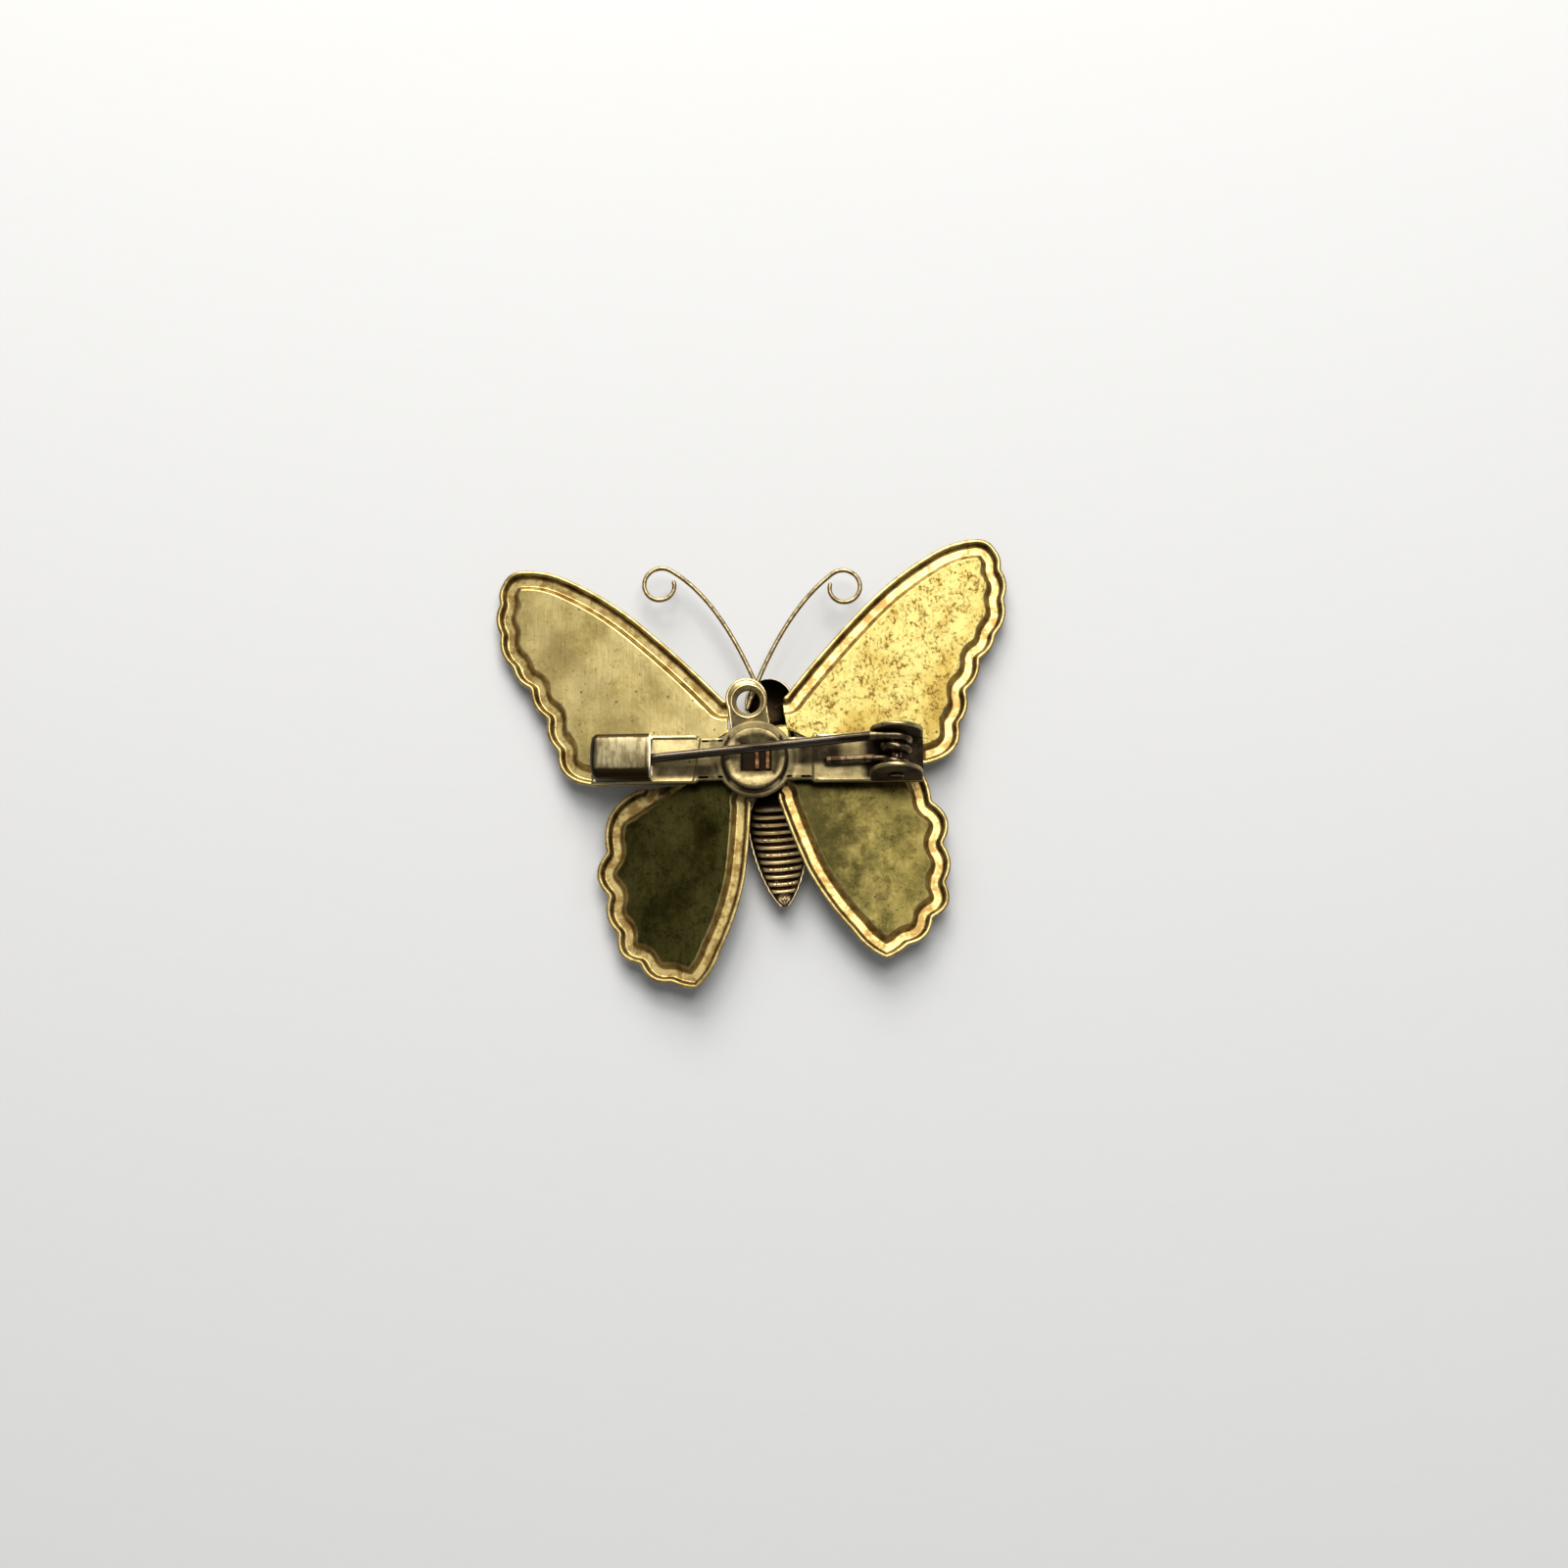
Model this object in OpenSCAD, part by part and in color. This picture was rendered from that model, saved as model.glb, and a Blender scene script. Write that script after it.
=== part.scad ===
// Butterfly brooch lying face down: the pinned back faces up (+Z), the antennae point to +Y,
// and the pin runs along X from its hinge on the right to its hood on the left.
// Four pressed pans, a hollow body and two wires are stacked under a riveted pin plate.

/* [Wings] */
// Thickness of the pressed wing sheet
sheet_t = 0.3; // [0.2:0.05:0.35]
// Turn of the pair of forewings on the pin plate, in degrees
fore_turn = 3.3; // [0:0.1:5]
// Turn of the pair of hindwings on the pin plate, in degrees
hind_turn = 8.6; // [6:0.1:9]
// Slope of each wing down from its root, towards the front of the brooch, in degrees
wing_droop = 5.5; // [4:0.5:7]

/* [Wing border] */
// Width of the thin lip outside the pressed groove
lip_w = 0.35; // [0.25:0.05:0.45]
// Width of the pressed groove
groove_w = 1.4; // [1:0.1:1.5]
// Depth of the pressed groove
groove_d = 0.65; // [0.4:0.05:0.7]
// Thickness of the enamel laid in each wing's tray, on the front
enamel_t = 0.45; // [0.3:0.05:0.5]

/* [Body] */
// Radius of the round head
head_r = 2.4; // [2.2:0.1:2.6]
// Half width of the abdomen at its widest
abdomen_r = 3.1; // [2.8:0.1:3.2]
// Distance from the centre of the head to the point of the tail
body_len = 20.6; // [19:0.1:21]
// Wall of the hollow body
body_wall = 0.3; // [0.2:0.05:0.4]
// Pitch of the rings pressed round the abdomen
ring_pitch = 0.76; // [0.6:0.02:0.9]

/* [Antennae] */
// Diameter of the antenna wire
antenna_d = 0.46; // [0.4:0.02:0.6]
// Radius of the curl at the end of each antenna
curl_r = 1.8; // [1.5:0.1:2]

/* [Pin plate] */
// Radius of the round hub
hub_r = 3.8; // [3.7:0.1:4]
// Thickness of the pin plate
plate_t = 0.6; // [0.5:0.05:0.7]
// Width of the plate's two arms
arm_w = 4.8; // [4.6:0.1:5]
// Width of the arms' necks beside the hub
neck_w = 4.2; // [4:0.1:4.4]
// Radius of the clinched washer on the hub
washer_r = 3.1; // [2.8:0.1:3.3]

/* [Pendant loop] */
// Radius of the eyelet's hole
eyelet_r = 1.15; // [1:0.05:1.3]
// Radius of the tongue round the eyelet
tongue_r = 2.05; // [1.9:0.05:2.1]
// Thickness of the loop's plate
loop_t = 0.4; // [0.3:0.05:0.5]

/* [Catch] */
// Length of the hood
hood_len = 6; // [5.5:0.1:6.4]
// Height of the hood above the plate
hood_h = 2.35; // [2.3:0.05:2.6]
// Thickness of the hood's sheet
hood_t = 0.35; // [0.25:0.05:0.4]

/* [Hinge and pin] */
// Diameter of the pin's wire
pin_d = 0.95; // [0.8:0.05:0.95]
// Radius of the spring's turns, to the middle of the wire
coil_r = 1.1; // [1.1:0.05:1.2]
// Radius of the rivet through the hinge
rivet_r = 0.5; // [0.4:0.05:0.52]
// Width of each hinge ear
ear_w = 5.1; // [4.6:0.1:5.2]
// Outward lean of the ear on the antennae's side, in degrees
upper_lean = 4; // [2:1:8]
// Inward lean of the ear on the tail's side, in degrees
lower_lean = 7; // [2:1:8]

/* [Hidden] */
$fn = 48;

BRASS = "#b8964a";
DARK_BRASS = "#7d6a3a";
ENAMEL = "#2f6f8f";

// The hub's centre, from the middle of the outline, and the root plane's height above the lowest point
HUB = [0.67, -0.26, 3.905];
clear = 0.1;                                  // gap left between stacked sheets
fore_at = [0.3, -0.2];
hind_at = [0.3, -0.1];
hind_z = -sheet_t - clear;
bezel_d = groove_d + sheet_t;
border_w = lip_w + groove_w + sheet_t;
root_x = 2;                                   // where a wing starts to slope
plate_z = loop_t;
plate_top = plate_z + plate_t;
washer_t = 0.4;
washer_bevel = 0.2;
legs_hole = [2.9, 2.7];
legs_at = [0.15, 0.1];
leg = [0.35, 2.4];                            // thickness and width of a clinched leg
saddle = [4.8, 3.4];
saddle_x = -0.7;
saddle_pad = 2.6;                             // width of its raised left side, under the level roots
saddle_step = 0.35;                           // how much lower the rest lies, under the sloping hindwing
eyelet_at = [-0.7, 5.8];
tongue_at = [-0.9, 6.15];                     // centre of the tongue's round end
tongue_lean = atan2(-tongue_at[0], tongue_at[1]);
boss_h = 0.25;                                // raised rim round the eyelet's hole
boss_r = [1.8, 1.6];
arm_left = -15.9;
arm_right = 16.3;
neck_end = 5.6;
head_at = [1.25, 6.2];
body_turn = 4.3;
rim_z = -1.75;
body_deep = 0.68;                             // the body's depth as a share of its half width
neck_s = 1.7;                                 // distances down the body from the centre of the head
neck_r = sqrt(head_r * head_r - neck_s * neck_s);
waist_r = 2.1;
thorax_swell = 0.85;
waist_s = 9.4;
abdomen_s = 12;
rings_from = 10.4;
rings_to = 19.4;
ring_h = 0.07;
wire_z = rim_z + antenna_d / 2;
wire_sides = 8;
solder_r = 0.5;
curl_from = 58;                               // turns at which an antenna's curl starts and how far it winds
curl_turn = 315;
curl_in = 0.45;                               // how much smaller the curl's radius gets
pin_r = pin_d / 2;
ear_x = arm_right - ear_w / 2;
ear_t = 0.45;
ear_inset = 0.06;                             // from the arm's edge to the ear's outer face
axis_z = plate_top + 1.75;
shank = [2.25, 2.55];                         // the rivet's reach below and above the middle of the plate
head_t = 0.3;
coil_y = 1.5;                                 // middle of the spring's first turn
coil_pitch = 1.1;
coil_end = 450;                               // turn at which the moving part of the spring ends
tail_start = 545;
pivot_at = [11.2, coil_y, axis_z + coil_r - 0.2];
tip_at = [-14.6, -0.45, plate_top + 0.6];
tail_tip = [7.1, -0.42, plate_top + pin_r + 0.03];

// Each row is a corner of a wing's edge and the height of the bow between it and the next corner.
FOREWING = [[2.7, 6.1, 0.15], [10.5, 14.5, 0.35], [18.2, 20.3, 0.3], [22.8, 21.6, 0.35],
            [24.7, 20.4, 0.25], [25, 18.4, 0.45], [25.1, 15.3, 0.55], [24, 11.7, 0.4],
            [22.3, 9.4, 0.5], [20.7, 6.2, 0.5], [19.8, 2.9, 0.65], [18.2, -0.4, 0.25],
            [14.6, -1, 0.05], [11, -1.3, 0], [8, 0.6, 0], [2.9, 3.2, 0], [2.9, -1.5, 0],
            [1.8, -1.5, 0], [1.8, 3, 0]];
HINDWING = [[2, -0.9, 0], [12.2, -0.6, 1.4], [16.1, -6.2, 1.05], [16.5, -10.5, 0.65],
            [16.1, -14.3, 0.95], [14.4, -17.6, 0.7], [11.6, -19.9, 0.15], [9.3, -20.9, 0.3],
            [6.5, -17.8, 0.25], [3.05, -11.2, 0.1], [1.3, -3.7, 0], [2, -2.6, 0]];
// The part of each wing that has the pressed border: the root and what the other wing covers stay plain.
FORE_BORDER = [[2.6, 4], [4.2, 4], [9, 2.2], [16, 2.2], [16, -4], [40, -4], [40, 40], [2.6, 40]];
HIND_BORDER = [[0, -4.4], [3.9, -4.4], [6, -2.7], [11, -2.7], [12.6, 2], [40, 2], [40, -40], [0, -40]];

// Points on a bowed edge from a to b; the bow stands out to the left of the way from a to b.
function bow(a, b, h, n) = let (d = [b[0] - a[0], b[1] - a[1]], len = norm(d))
    [for (i = [0 : n - 1]) let (t = i / n, s = 4 * h * t * (1 - t))
        [a[0] + d[0] * t - d[1] / len * s, a[1] + d[1] * t + d[0] / len * s]];
function outline(rows) = [for (i = [0 : len(rows) - 1])
    let (a = rows[i], b = rows[(i + 1) % len(rows)])
    for (p = bow(a, b, a[2], a[2] > 0 ? 8 : 1)) p];

// Half width of the body at a distance s down from the centre of the head
function body_half(s) =
    s < neck_s ? sqrt(max(0.01, head_r * head_r - s * s)) :
    s < waist_s ? let (t = (s - neck_s) / (waist_s - neck_s))
        neck_r + (waist_r - neck_r) * t + thorax_swell * sin(180 * t) :
    s < abdomen_s ? waist_r + (abdomen_r - waist_r) * sin((s - waist_s) / (abdomen_s - waist_s) * 90) :
    abdomen_r * pow(1 - pow((s - abdomen_s) / (body_len - abdomen_s), 1.6), 0.65);
// The pressed rings swell and pinch the abdomen.
function ring_wave(s) =
    s > rings_from && s < rings_to ? ring_h * cos(360 * (s - rings_from) / ring_pitch) : 0;

// One closed loop across the body's wall: round the outside and back along the inside
function body_loop(s, w, n) =
    let (r = body_half(s) + ring_wave(s), d = body_deep * r, q = max(0.05, r - w), e = max(0.03, d - w))
    concat([for (i = [0 : n]) [r * cos(180 * i / n), -s, -d * sin(180 * i / n)]],
           [for (i = [n : -1 : 0]) [q * cos(180 * i / n), -s, -e * sin(180 * i / n)]]);

// Skin over a row of closed loops that all have the same number of points, with both ends capped.
// Each cap is a ladder of four-sided faces between the loop's first half and its second half.
module skin(loops) {
    m = len(loops[0]);
    k = len(loops);
    sides = [for (j = [0 : k - 2], i = [0 : m - 1])
        [j * m + i, j * m + (i + 1) % m, (j + 1) * m + (i + 1) % m, (j + 1) * m + i]];
    ladder = [for (i = [0 : m / 2 - 2]) [i, i + 1, m - 2 - i, m - 1 - i]];
    first = [for (f = ladder) [f[3], f[2], f[1], f[0]]];
    last = [for (f = ladder) [for (i = f) i + (k - 1) * m]];
    polyhedron([for (l = loops, p = l) p], concat(sides, first, last), convexity = 8);
}

function unit(v) = v / norm(v);
// Round section of a wire at point p, square to the direction d
function wire_loop(p, d, r) =
    let (u = unit(cross(abs(d[2]) < 0.9 * norm(d) ? [0, 0, 1] : [0, 1, 0], d)), v = unit(cross(d, u)))
    [for (i = [0 : wire_sides - 1]) let (a = 360 * i / wire_sides) p + r * cos(a) * u + r * sin(a) * v];
module wire(path, r) {
    k = len(path);
    skin([for (i = [0 : k - 1]) wire_loop(path[i], path[min(i + 1, k - 1)] - path[max(i - 1, 0)], r)]);
}

// Path of an antenna: a bent shaft, then a curl that winds inwards; side is 1 on the right, -1 on the left
function antenna_path(foot, knee, centre, side) =
    let (top = centre + curl_r * [-side * cos(curl_from), sin(curl_from)])
    concat([for (i = [0 : 13])
               let (t = i / 14, p = pow(1 - t, 2) * foot + 2 * t * (1 - t) * knee + t * t * top)
               [p[0], p[1], wire_z]],
           [for (i = [0 : 26]) let (a = curl_from + curl_turn * i / 26, r = curl_r - curl_in * i / 26)
               [centre[0] - side * r * cos(a), centre[1] + r * sin(a), wire_z]]);

module wing_place(side, turn, at, z)
    translate([at[0], at[1], z]) rotate([0, 0, turn])
        mirror([side < 0 ? 1 : 0, 0, 0])
            translate([root_x, 0, 0]) rotate([0, wing_droop, 0]) translate([-root_x, 0, 0]) children();

module pan(rows, border) {
    edge = outline(rows);
    color(BRASS) difference() {
        union() {
            translate([0, 0, -sheet_t]) linear_extrude(sheet_t) polygon(edge);
            translate([0, 0, -bezel_d]) linear_extrude(bezel_d - sheet_t / 2) intersection() {
                difference() {
                    polygon(edge);
                    offset(delta = -border_w) polygon(edge);
                }
                polygon(border);
            }
        }
        translate([0, 0, -groove_d]) linear_extrude(groove_d + 1) intersection() {
            difference() {
                offset(delta = -lip_w) polygon(edge);
                offset(delta = -lip_w - groove_w) polygon(edge);
            }
            offset(delta = -sheet_t) polygon(border);
        }
    }
}

module inlay(rows, border) {
    edge = outline(rows);
    color(ENAMEL) translate([0, 0, -sheet_t - enamel_t]) linear_extrude(enamel_t) intersection() {
        offset(delta = -border_w - clear / 2) polygon(edge);
        offset(delta = -clear) polygon(border);
    }
}

module forewing(side) wing_place(side, fore_turn, fore_at, 0) pan(FOREWING, FORE_BORDER);
module hindwing(side) wing_place(side, hind_turn, hind_at, hind_z) pan(HINDWING, HIND_BORDER);
module enamel_forewing(side) wing_place(side, fore_turn, fore_at, 0) inlay(FOREWING, FORE_BORDER);
module enamel_hindwing(side) wing_place(side, hind_turn, hind_at, hind_z) inlay(HINDWING, HIND_BORDER);

module body_shell() {
    steps = 80;
    first = -head_r * 0.985;
    last = body_len - 0.25;
    color(DARK_BRASS) translate([head_at[0], head_at[1], rim_z]) rotate([0, 0, body_turn])
        skin([for (i = [0 : steps]) body_loop(first + (last - first) * i / steps, body_wall, 12)]);
}

// Block across the open back of the body, with the two flat legs that hold the stack together
module body_saddle() {
    top = hind_z - sheet_t;
    color(DARK_BRASS) {
        translate([saddle_x, -saddle[1] / 2, rim_z]) {
            cube([saddle[0], saddle[1], top - saddle_step - rim_z]);
            cube([saddle_pad, saddle[1], top - rim_z]);
        }
        for (x = [0.05, 1.1])
            translate([x, legs_at[1] - leg[1] / 2, top - 0.1]) cube([leg[0], leg[1], plate_top + 0.2 - top]);
    }
}

module antenna_left() color(BRASS)
    wire(antenna_path([0.9, 5.6], [-3.25, 16.6], [-9.55, 18.2], -1), antenna_d / 2);
module antenna_right() color(BRASS) translate([0, 0, antenna_d + 0.02])
    wire(antenna_path([-0.9, 5.4], [2.6, 15.4], [8.6, 17.6], 1), antenna_d / 2);

// Bead of solder that joins the two wires to the rim at the top of the head
module antenna_solder() color(DARK_BRASS)
    translate([0, 7.95, wire_z]) sphere(r = solder_r);

module legs_slot(h)
    translate([legs_at[0] - legs_hole[0] / 2, legs_at[1] - legs_hole[1] / 2, -1])
        cube([legs_hole[0], legs_hole[1], h + 2]);

module pendant_loop() color(BRASS) difference() {
    union() {
        cylinder(h = loop_t, r = hub_r - 0.2);
        rotate([0, 0, tongue_lean]) translate([-tongue_r + 0.15, 0, 0])
            cube([2 * tongue_r - 0.3, norm(tongue_at), loop_t]);
        translate([tongue_at[0], tongue_at[1], 0]) cylinder(h = loop_t, r = tongue_r);
        translate([eyelet_at[0], eyelet_at[1], loop_t]) cylinder(h = boss_h, r1 = boss_r[0], r2 = boss_r[1]);
    }
    translate([eyelet_at[0], eyelet_at[1], -1]) cylinder(h = loop_t + 3, r = eyelet_r);
    legs_slot(loop_t);
}

// One hinge ear: a round-topped plate bent up from the arm's edge
module ear(side) {
    h = axis_z - plate_top;
    lean = side > 0 ? upper_lean : lower_lean;
    translate([0, side * (arm_w / 2 - ear_t - ear_inset), plate_top]) rotate([90 - lean, 0, 0])
        translate([ear_x, 0, side < 0 ? 0 : -ear_t]) linear_extrude(ear_t) {
            translate([-ear_w / 2, -plate_t / 2]) square([ear_w, h + plate_t / 2]);
            translate([0, h]) circle(ear_w / 2);
        }
}

module pin_plate() color(BRASS) difference() {
    union() {
        translate([0, 0, plate_z]) linear_extrude(plate_t) {
            circle(hub_r);
            translate([arm_left, -neck_w / 2]) square([arm_right - arm_left, neck_w]);
            translate([arm_left, -arm_w / 2]) square([-neck_end - arm_left, arm_w]);
            translate([neck_end, -arm_w / 2]) square([arm_right - neck_end, arm_w]);
        }
        ear(1);
        ear(-1);
    }
    legs_slot(plate_top);
    translate([ear_x, -5, axis_z]) rotate([-90, 0, 0]) cylinder(h = 10, r = rivet_r + 0.03);
}

module hub_washer() color(BRASS) difference() {
    translate([0, 0, plate_top]) cylinder(h = washer_t, r1 = washer_r, r2 = washer_r - washer_bevel);
    legs_slot(plate_top + washer_t);
}

module round_block(w, h, r) {
    translate([r, 0]) square([w - 2 * r, h]);
    translate([0, r]) square([w, h - 2 * r]);
    for (x = [r, w - r], y = [r, h - r]) translate([x, y]) circle(r);
}
// Pressed hood: shut at its outer end, and open along its upper edge for the pin
module catch_hood() {
    w = arm_w - 0.2;
    slot_h = hood_h - hood_t - 0.4;
    color(DARK_BRASS) translate([arm_left, -w / 2, plate_top]) rotate([90, 0, 90]) {
        linear_extrude(hood_len) difference() {
            round_block(w, hood_h, 0.8);
            translate([hood_t, hood_t]) round_block(w - 2 * hood_t, hood_h - 2 * hood_t, 0.5);
            translate([w - 1.4, hood_t]) square([3, slot_h - hood_t]);
        }
        linear_extrude(hood_t) round_block(w, hood_h, 0.8);
    }
}

module hinge_rivet() color(DARK_BRASS) translate([ear_x, 0, axis_z]) rotate([-90, 0, 0]) {
    translate([0, 0, -shank[0]]) cylinder(h = shank[0] + shank[1], r = rivet_r);
    translate([0, 0, shank[1]]) cylinder(h = head_t, r1 = 0.8, r2 = 0.6);
    translate([0, 0, -shank[0] - head_t]) cylinder(h = head_t, r1 = 0.6, r2 = 0.8);
}

// Point on the spring at a turn of a degrees from its top, winding over to the right and down
function coil_point(a) = [ear_x + coil_r * sin(a), coil_y - coil_pitch * a / 360, axis_z + coil_r * cos(a)];

module spring_coil() color(DARK_BRASS)
    wire(concat([[pivot_at[0] + pin_r, coil_y, pivot_at[2]]],
                [for (a = [0 : 15 : coil_end]) coil_point(a)]), pin_r);

module spring_tail() color(DARK_BRASS)
    wire([coil_point(tail_start), coil_point(tail_start + 12), tail_tip], pin_r - 0.02);

// Pin: a round end at the spring, a long straight wire and a sharp point
module pin_stem() {
    d = tip_at - pivot_at;
    flat = norm([d[0], d[1]]);
    len = norm(d);
    color(DARK_BRASS) translate(pivot_at)
    rotate([0, 0, atan2(d[1], d[0])]) rotate([0, 90 - atan2(d[2], flat), 0]) {
        sphere(r = pin_r - 0.01);
        cylinder(h = len - 4, r = pin_r - 0.01);
        translate([0, 0, len - 4]) cylinder(h = 4, r1 = pin_r - 0.01, r2 = 0.06);
    }
}

translate(HUB) {
    forewing(-1);  // forewing_left
    forewing(1);  // forewing_right
    hindwing(-1);  // hindwing_left
    hindwing(1);  // hindwing_right
    enamel_forewing(-1);  // enamel_forewing_left
    enamel_forewing(1);  // enamel_forewing_right
    enamel_hindwing(-1);  // enamel_hindwing_left
    enamel_hindwing(1);  // enamel_hindwing_right
    body_shell();
    body_saddle();
    antenna_left();
    antenna_right();
    antenna_solder();
    pendant_loop();
    pin_plate();
    hub_washer();
    catch_hood();
    hinge_rivet();
    spring_tail();
    spring_coil();
    pin_stem();
}
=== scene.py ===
import bpy
import numpy as np
from mathutils import Matrix, Vector


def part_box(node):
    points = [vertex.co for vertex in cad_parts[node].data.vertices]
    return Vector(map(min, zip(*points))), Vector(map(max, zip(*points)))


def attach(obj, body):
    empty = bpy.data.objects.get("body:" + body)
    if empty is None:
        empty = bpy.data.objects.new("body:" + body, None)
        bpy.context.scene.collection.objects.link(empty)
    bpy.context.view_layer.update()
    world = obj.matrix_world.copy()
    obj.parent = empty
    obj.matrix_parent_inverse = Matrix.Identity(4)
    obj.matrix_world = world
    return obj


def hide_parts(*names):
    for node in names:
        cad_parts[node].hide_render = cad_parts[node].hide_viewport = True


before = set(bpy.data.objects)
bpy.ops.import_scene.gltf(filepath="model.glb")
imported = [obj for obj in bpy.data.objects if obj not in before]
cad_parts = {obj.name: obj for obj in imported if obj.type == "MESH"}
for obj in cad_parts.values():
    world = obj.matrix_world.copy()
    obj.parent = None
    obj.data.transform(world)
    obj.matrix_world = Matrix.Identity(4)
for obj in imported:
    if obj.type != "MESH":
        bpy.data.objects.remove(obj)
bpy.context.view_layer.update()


# ---- Table and studio -------------------------------------------------------------------------
# The brooch lies face down on a plain pale table, with its pinned back up. A wide soft lamp hangs
# beyond the antennae, a second one over the right wings, and the room itself is a dim pale grey.
MM = 0.001
washer_low, washer_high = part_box("hub_washer")
loop_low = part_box("pendant_loop")[0]
HUB = np.array([(washer_low.x + washer_high.x) / 2, (washer_low.y + washer_high.y) / 2, loop_low.z])

VIEW_TILT = Matrix.Rotation(np.radians(3), 4, "Y") @ Matrix.Rotation(np.radians(12), 4, "X")
camera_data = bpy.data.cameras.new("studio_camera")
camera_data.lens = 67.5
camera_data.sensor_width = 36
camera_data.clip_start = 0.01
camera = bpy.data.objects.new("studio_camera", camera_data)
to_right, to_top, to_eye = (np.array(VIEW_TILT.col[i][:3]) for i in range(3))
camera.matrix_world = Matrix.Translation(
    Vector(HUB + 0.2857 * to_eye + 0.00278 * to_right - 0.00228 * to_top)) @ VIEW_TILT
bpy.context.collection.objects.link(camera)
bpy.context.scene.camera = camera


def soft_lamp(name, place, size, power, tint):
    """A square lamp at a place in metres from the hub, turned to face the hub."""
    data = bpy.data.lights.new(name, "AREA")
    data.size = size
    data.energy = power
    data.color = tint
    lamp = bpy.data.objects.new(name, data)
    toward = Vector(place)
    turned = toward.to_track_quat("Z", "Y").to_matrix().to_4x4()
    lamp.matrix_world = Matrix.Translation(Vector(HUB) + toward) @ turned
    bpy.context.collection.objects.link(lamp)


soft_lamp("lamp_beyond_antennae", (-0.05, 0.44, 0.3), 0.34, 2.5, (1, 0.98, 0.94))
soft_lamp("lamp_over_right_wings", (0.1, 0.26, 0.6), 0.42, 2.3, (1, 0.99, 0.96))

room = bpy.data.worlds.new("room")
room.use_nodes = True
room.node_tree.nodes["Background"].inputs["Color"].default_value = (0.93, 0.96, 1, 1)
room.node_tree.nodes["Background"].inputs["Strength"].default_value = 0.21
bpy.context.scene.world = room
bpy.context.scene.view_settings.view_transform = "Standard"


class Coat:
    """One value or colour that varies over a finish. Sums, products and powers of coats add Math nodes,
    and node() adds any other kind of node."""

    def __init__(self, tree, out):
        self.tree, self.out = tree, out

    def node(self, kind, settings=None, sockets=None, out=0):
        """Adds a node: its settings first, then a value or a link for each socket that is named."""
        made = self.tree.nodes.new("ShaderNode" + kind)
        for key, value in (settings or {}).items():
            setattr(made, key, value)
        for key, value in (sockets or {}).items():
            if isinstance(value, Coat):
                self.tree.links.new(value.out, made.inputs[key])
            else:
                made.inputs[key].default_value = value
        return Coat(self.tree, made.outputs[out] if made.outputs else None)

    def math(self, operation, *values):
        return self.node("Math", {"operation": operation}, dict(enumerate(values)))

    def __add__(self, other):
        return self.math("ADD", self, other)

    def __sub__(self, other):
        return self.math("SUBTRACT", self, other)

    def __rsub__(self, other):
        return self.math("SUBTRACT", other, self)

    def __mul__(self, other):
        return self.math("MULTIPLY", self, other)

    __radd__, __rmul__ = __add__, __mul__

    def clipped(self):
        return self.node("Clamp", None, {"Value": self})

    def step(self, low, high):
        """0 below low, 1 above high, and smooth between them."""
        return self.node("MapRange", {"interpolation_type": "SMOOTHSTEP"},
                         {"Value": self, "From Min": low, "From Max": high})

    def over(self, under, colour):
        """The colour laid over the colour called under, where this coat is 1."""
        under = under if isinstance(under, Coat) else (*under, 1)
        colour = colour if isinstance(colour, Coat) else (*colour, 1)
        return self.node("Mix", {"data_type": "RGBA"}, {0: self, 6: under, 7: colour}, out=2)

    def noise(self, stretch, scale, detail=4, rough=0.55):
        """Cloudy noise at this place, which is stretched along each axis first."""
        place = self.node("VectorMath", {"operation": "MULTIPLY"}, {0: self, 1: stretch})
        return place.node("TexNoise", None, {"Vector": place, "Scale": scale, "Detail": detail,
                                             "Roughness": rough})

    def pits(self, scale, radius):
        """1 inside small round pits scattered at this place, and 0 between them."""
        cells = self.node("TexVoronoi", None, {"Vector": self, "Scale": scale, "Randomness": 1})
        return 1 - cells.step(radius * 0.6, radius)

    def attribute(self, name):
        """The value that the mesh carries under this name."""
        return self.node("Attribute", {"attribute_name": name}, out=2)


def new_finish(name):
    """An empty material, and the place on the piece in millimetres as a coat."""
    material = bpy.data.materials.new(name)
    material.use_nodes = True
    material.node_tree.nodes.clear()
    place = material.node_tree.nodes.new("ShaderNodeTexCoord").outputs["Object"]
    start = Coat(material.node_tree, place)
    return material, start.node("VectorMath", {"operation": "SCALE"}, {0: start, "Scale": 1 / MM})


def close_finish(material, place, colour, metal, rough, relief, depth, varnish=0.0, sheen_rough=0.1):
    """Joins the coats to one shader: relief is a height from 0 to 1 and depth its full height in mm."""
    bump = place.node("Bump", None, {"Height": relief, "Distance": depth * MM, "Strength": 1.0})
    shader = place.node("BsdfPrincipled", None, {
        "Base Color": colour if isinstance(colour, Coat) else (*colour, 1),
        "Metallic": metal, "Roughness": rough,
        "Normal": bump, "Coat Weight": varnish, "Coat Roughness": sheen_rough})
    place.node("OutputMaterial", None, {"Surface": shader})
    return material


table_finish, table_place = new_finish("pale_table")
close_finish(table_finish, table_place, (0.78, 0.78, 0.78), 0.0, 0.8, table_place.noise((1, 1, 1), 0.4),
             0.02)
table_mesh = bpy.data.meshes.new("table_top")
table_mesh.from_pydata([(-2, -2, 0), (2, -2, 0), (2, 2, 0), (-2, 2, 0)], [], [(0, 1, 2, 3)])
table_mesh.materials.append(table_finish)
table_top = bpy.data.objects.new("table_top", table_mesh)
bpy.context.collection.objects.link(table_top)


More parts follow.
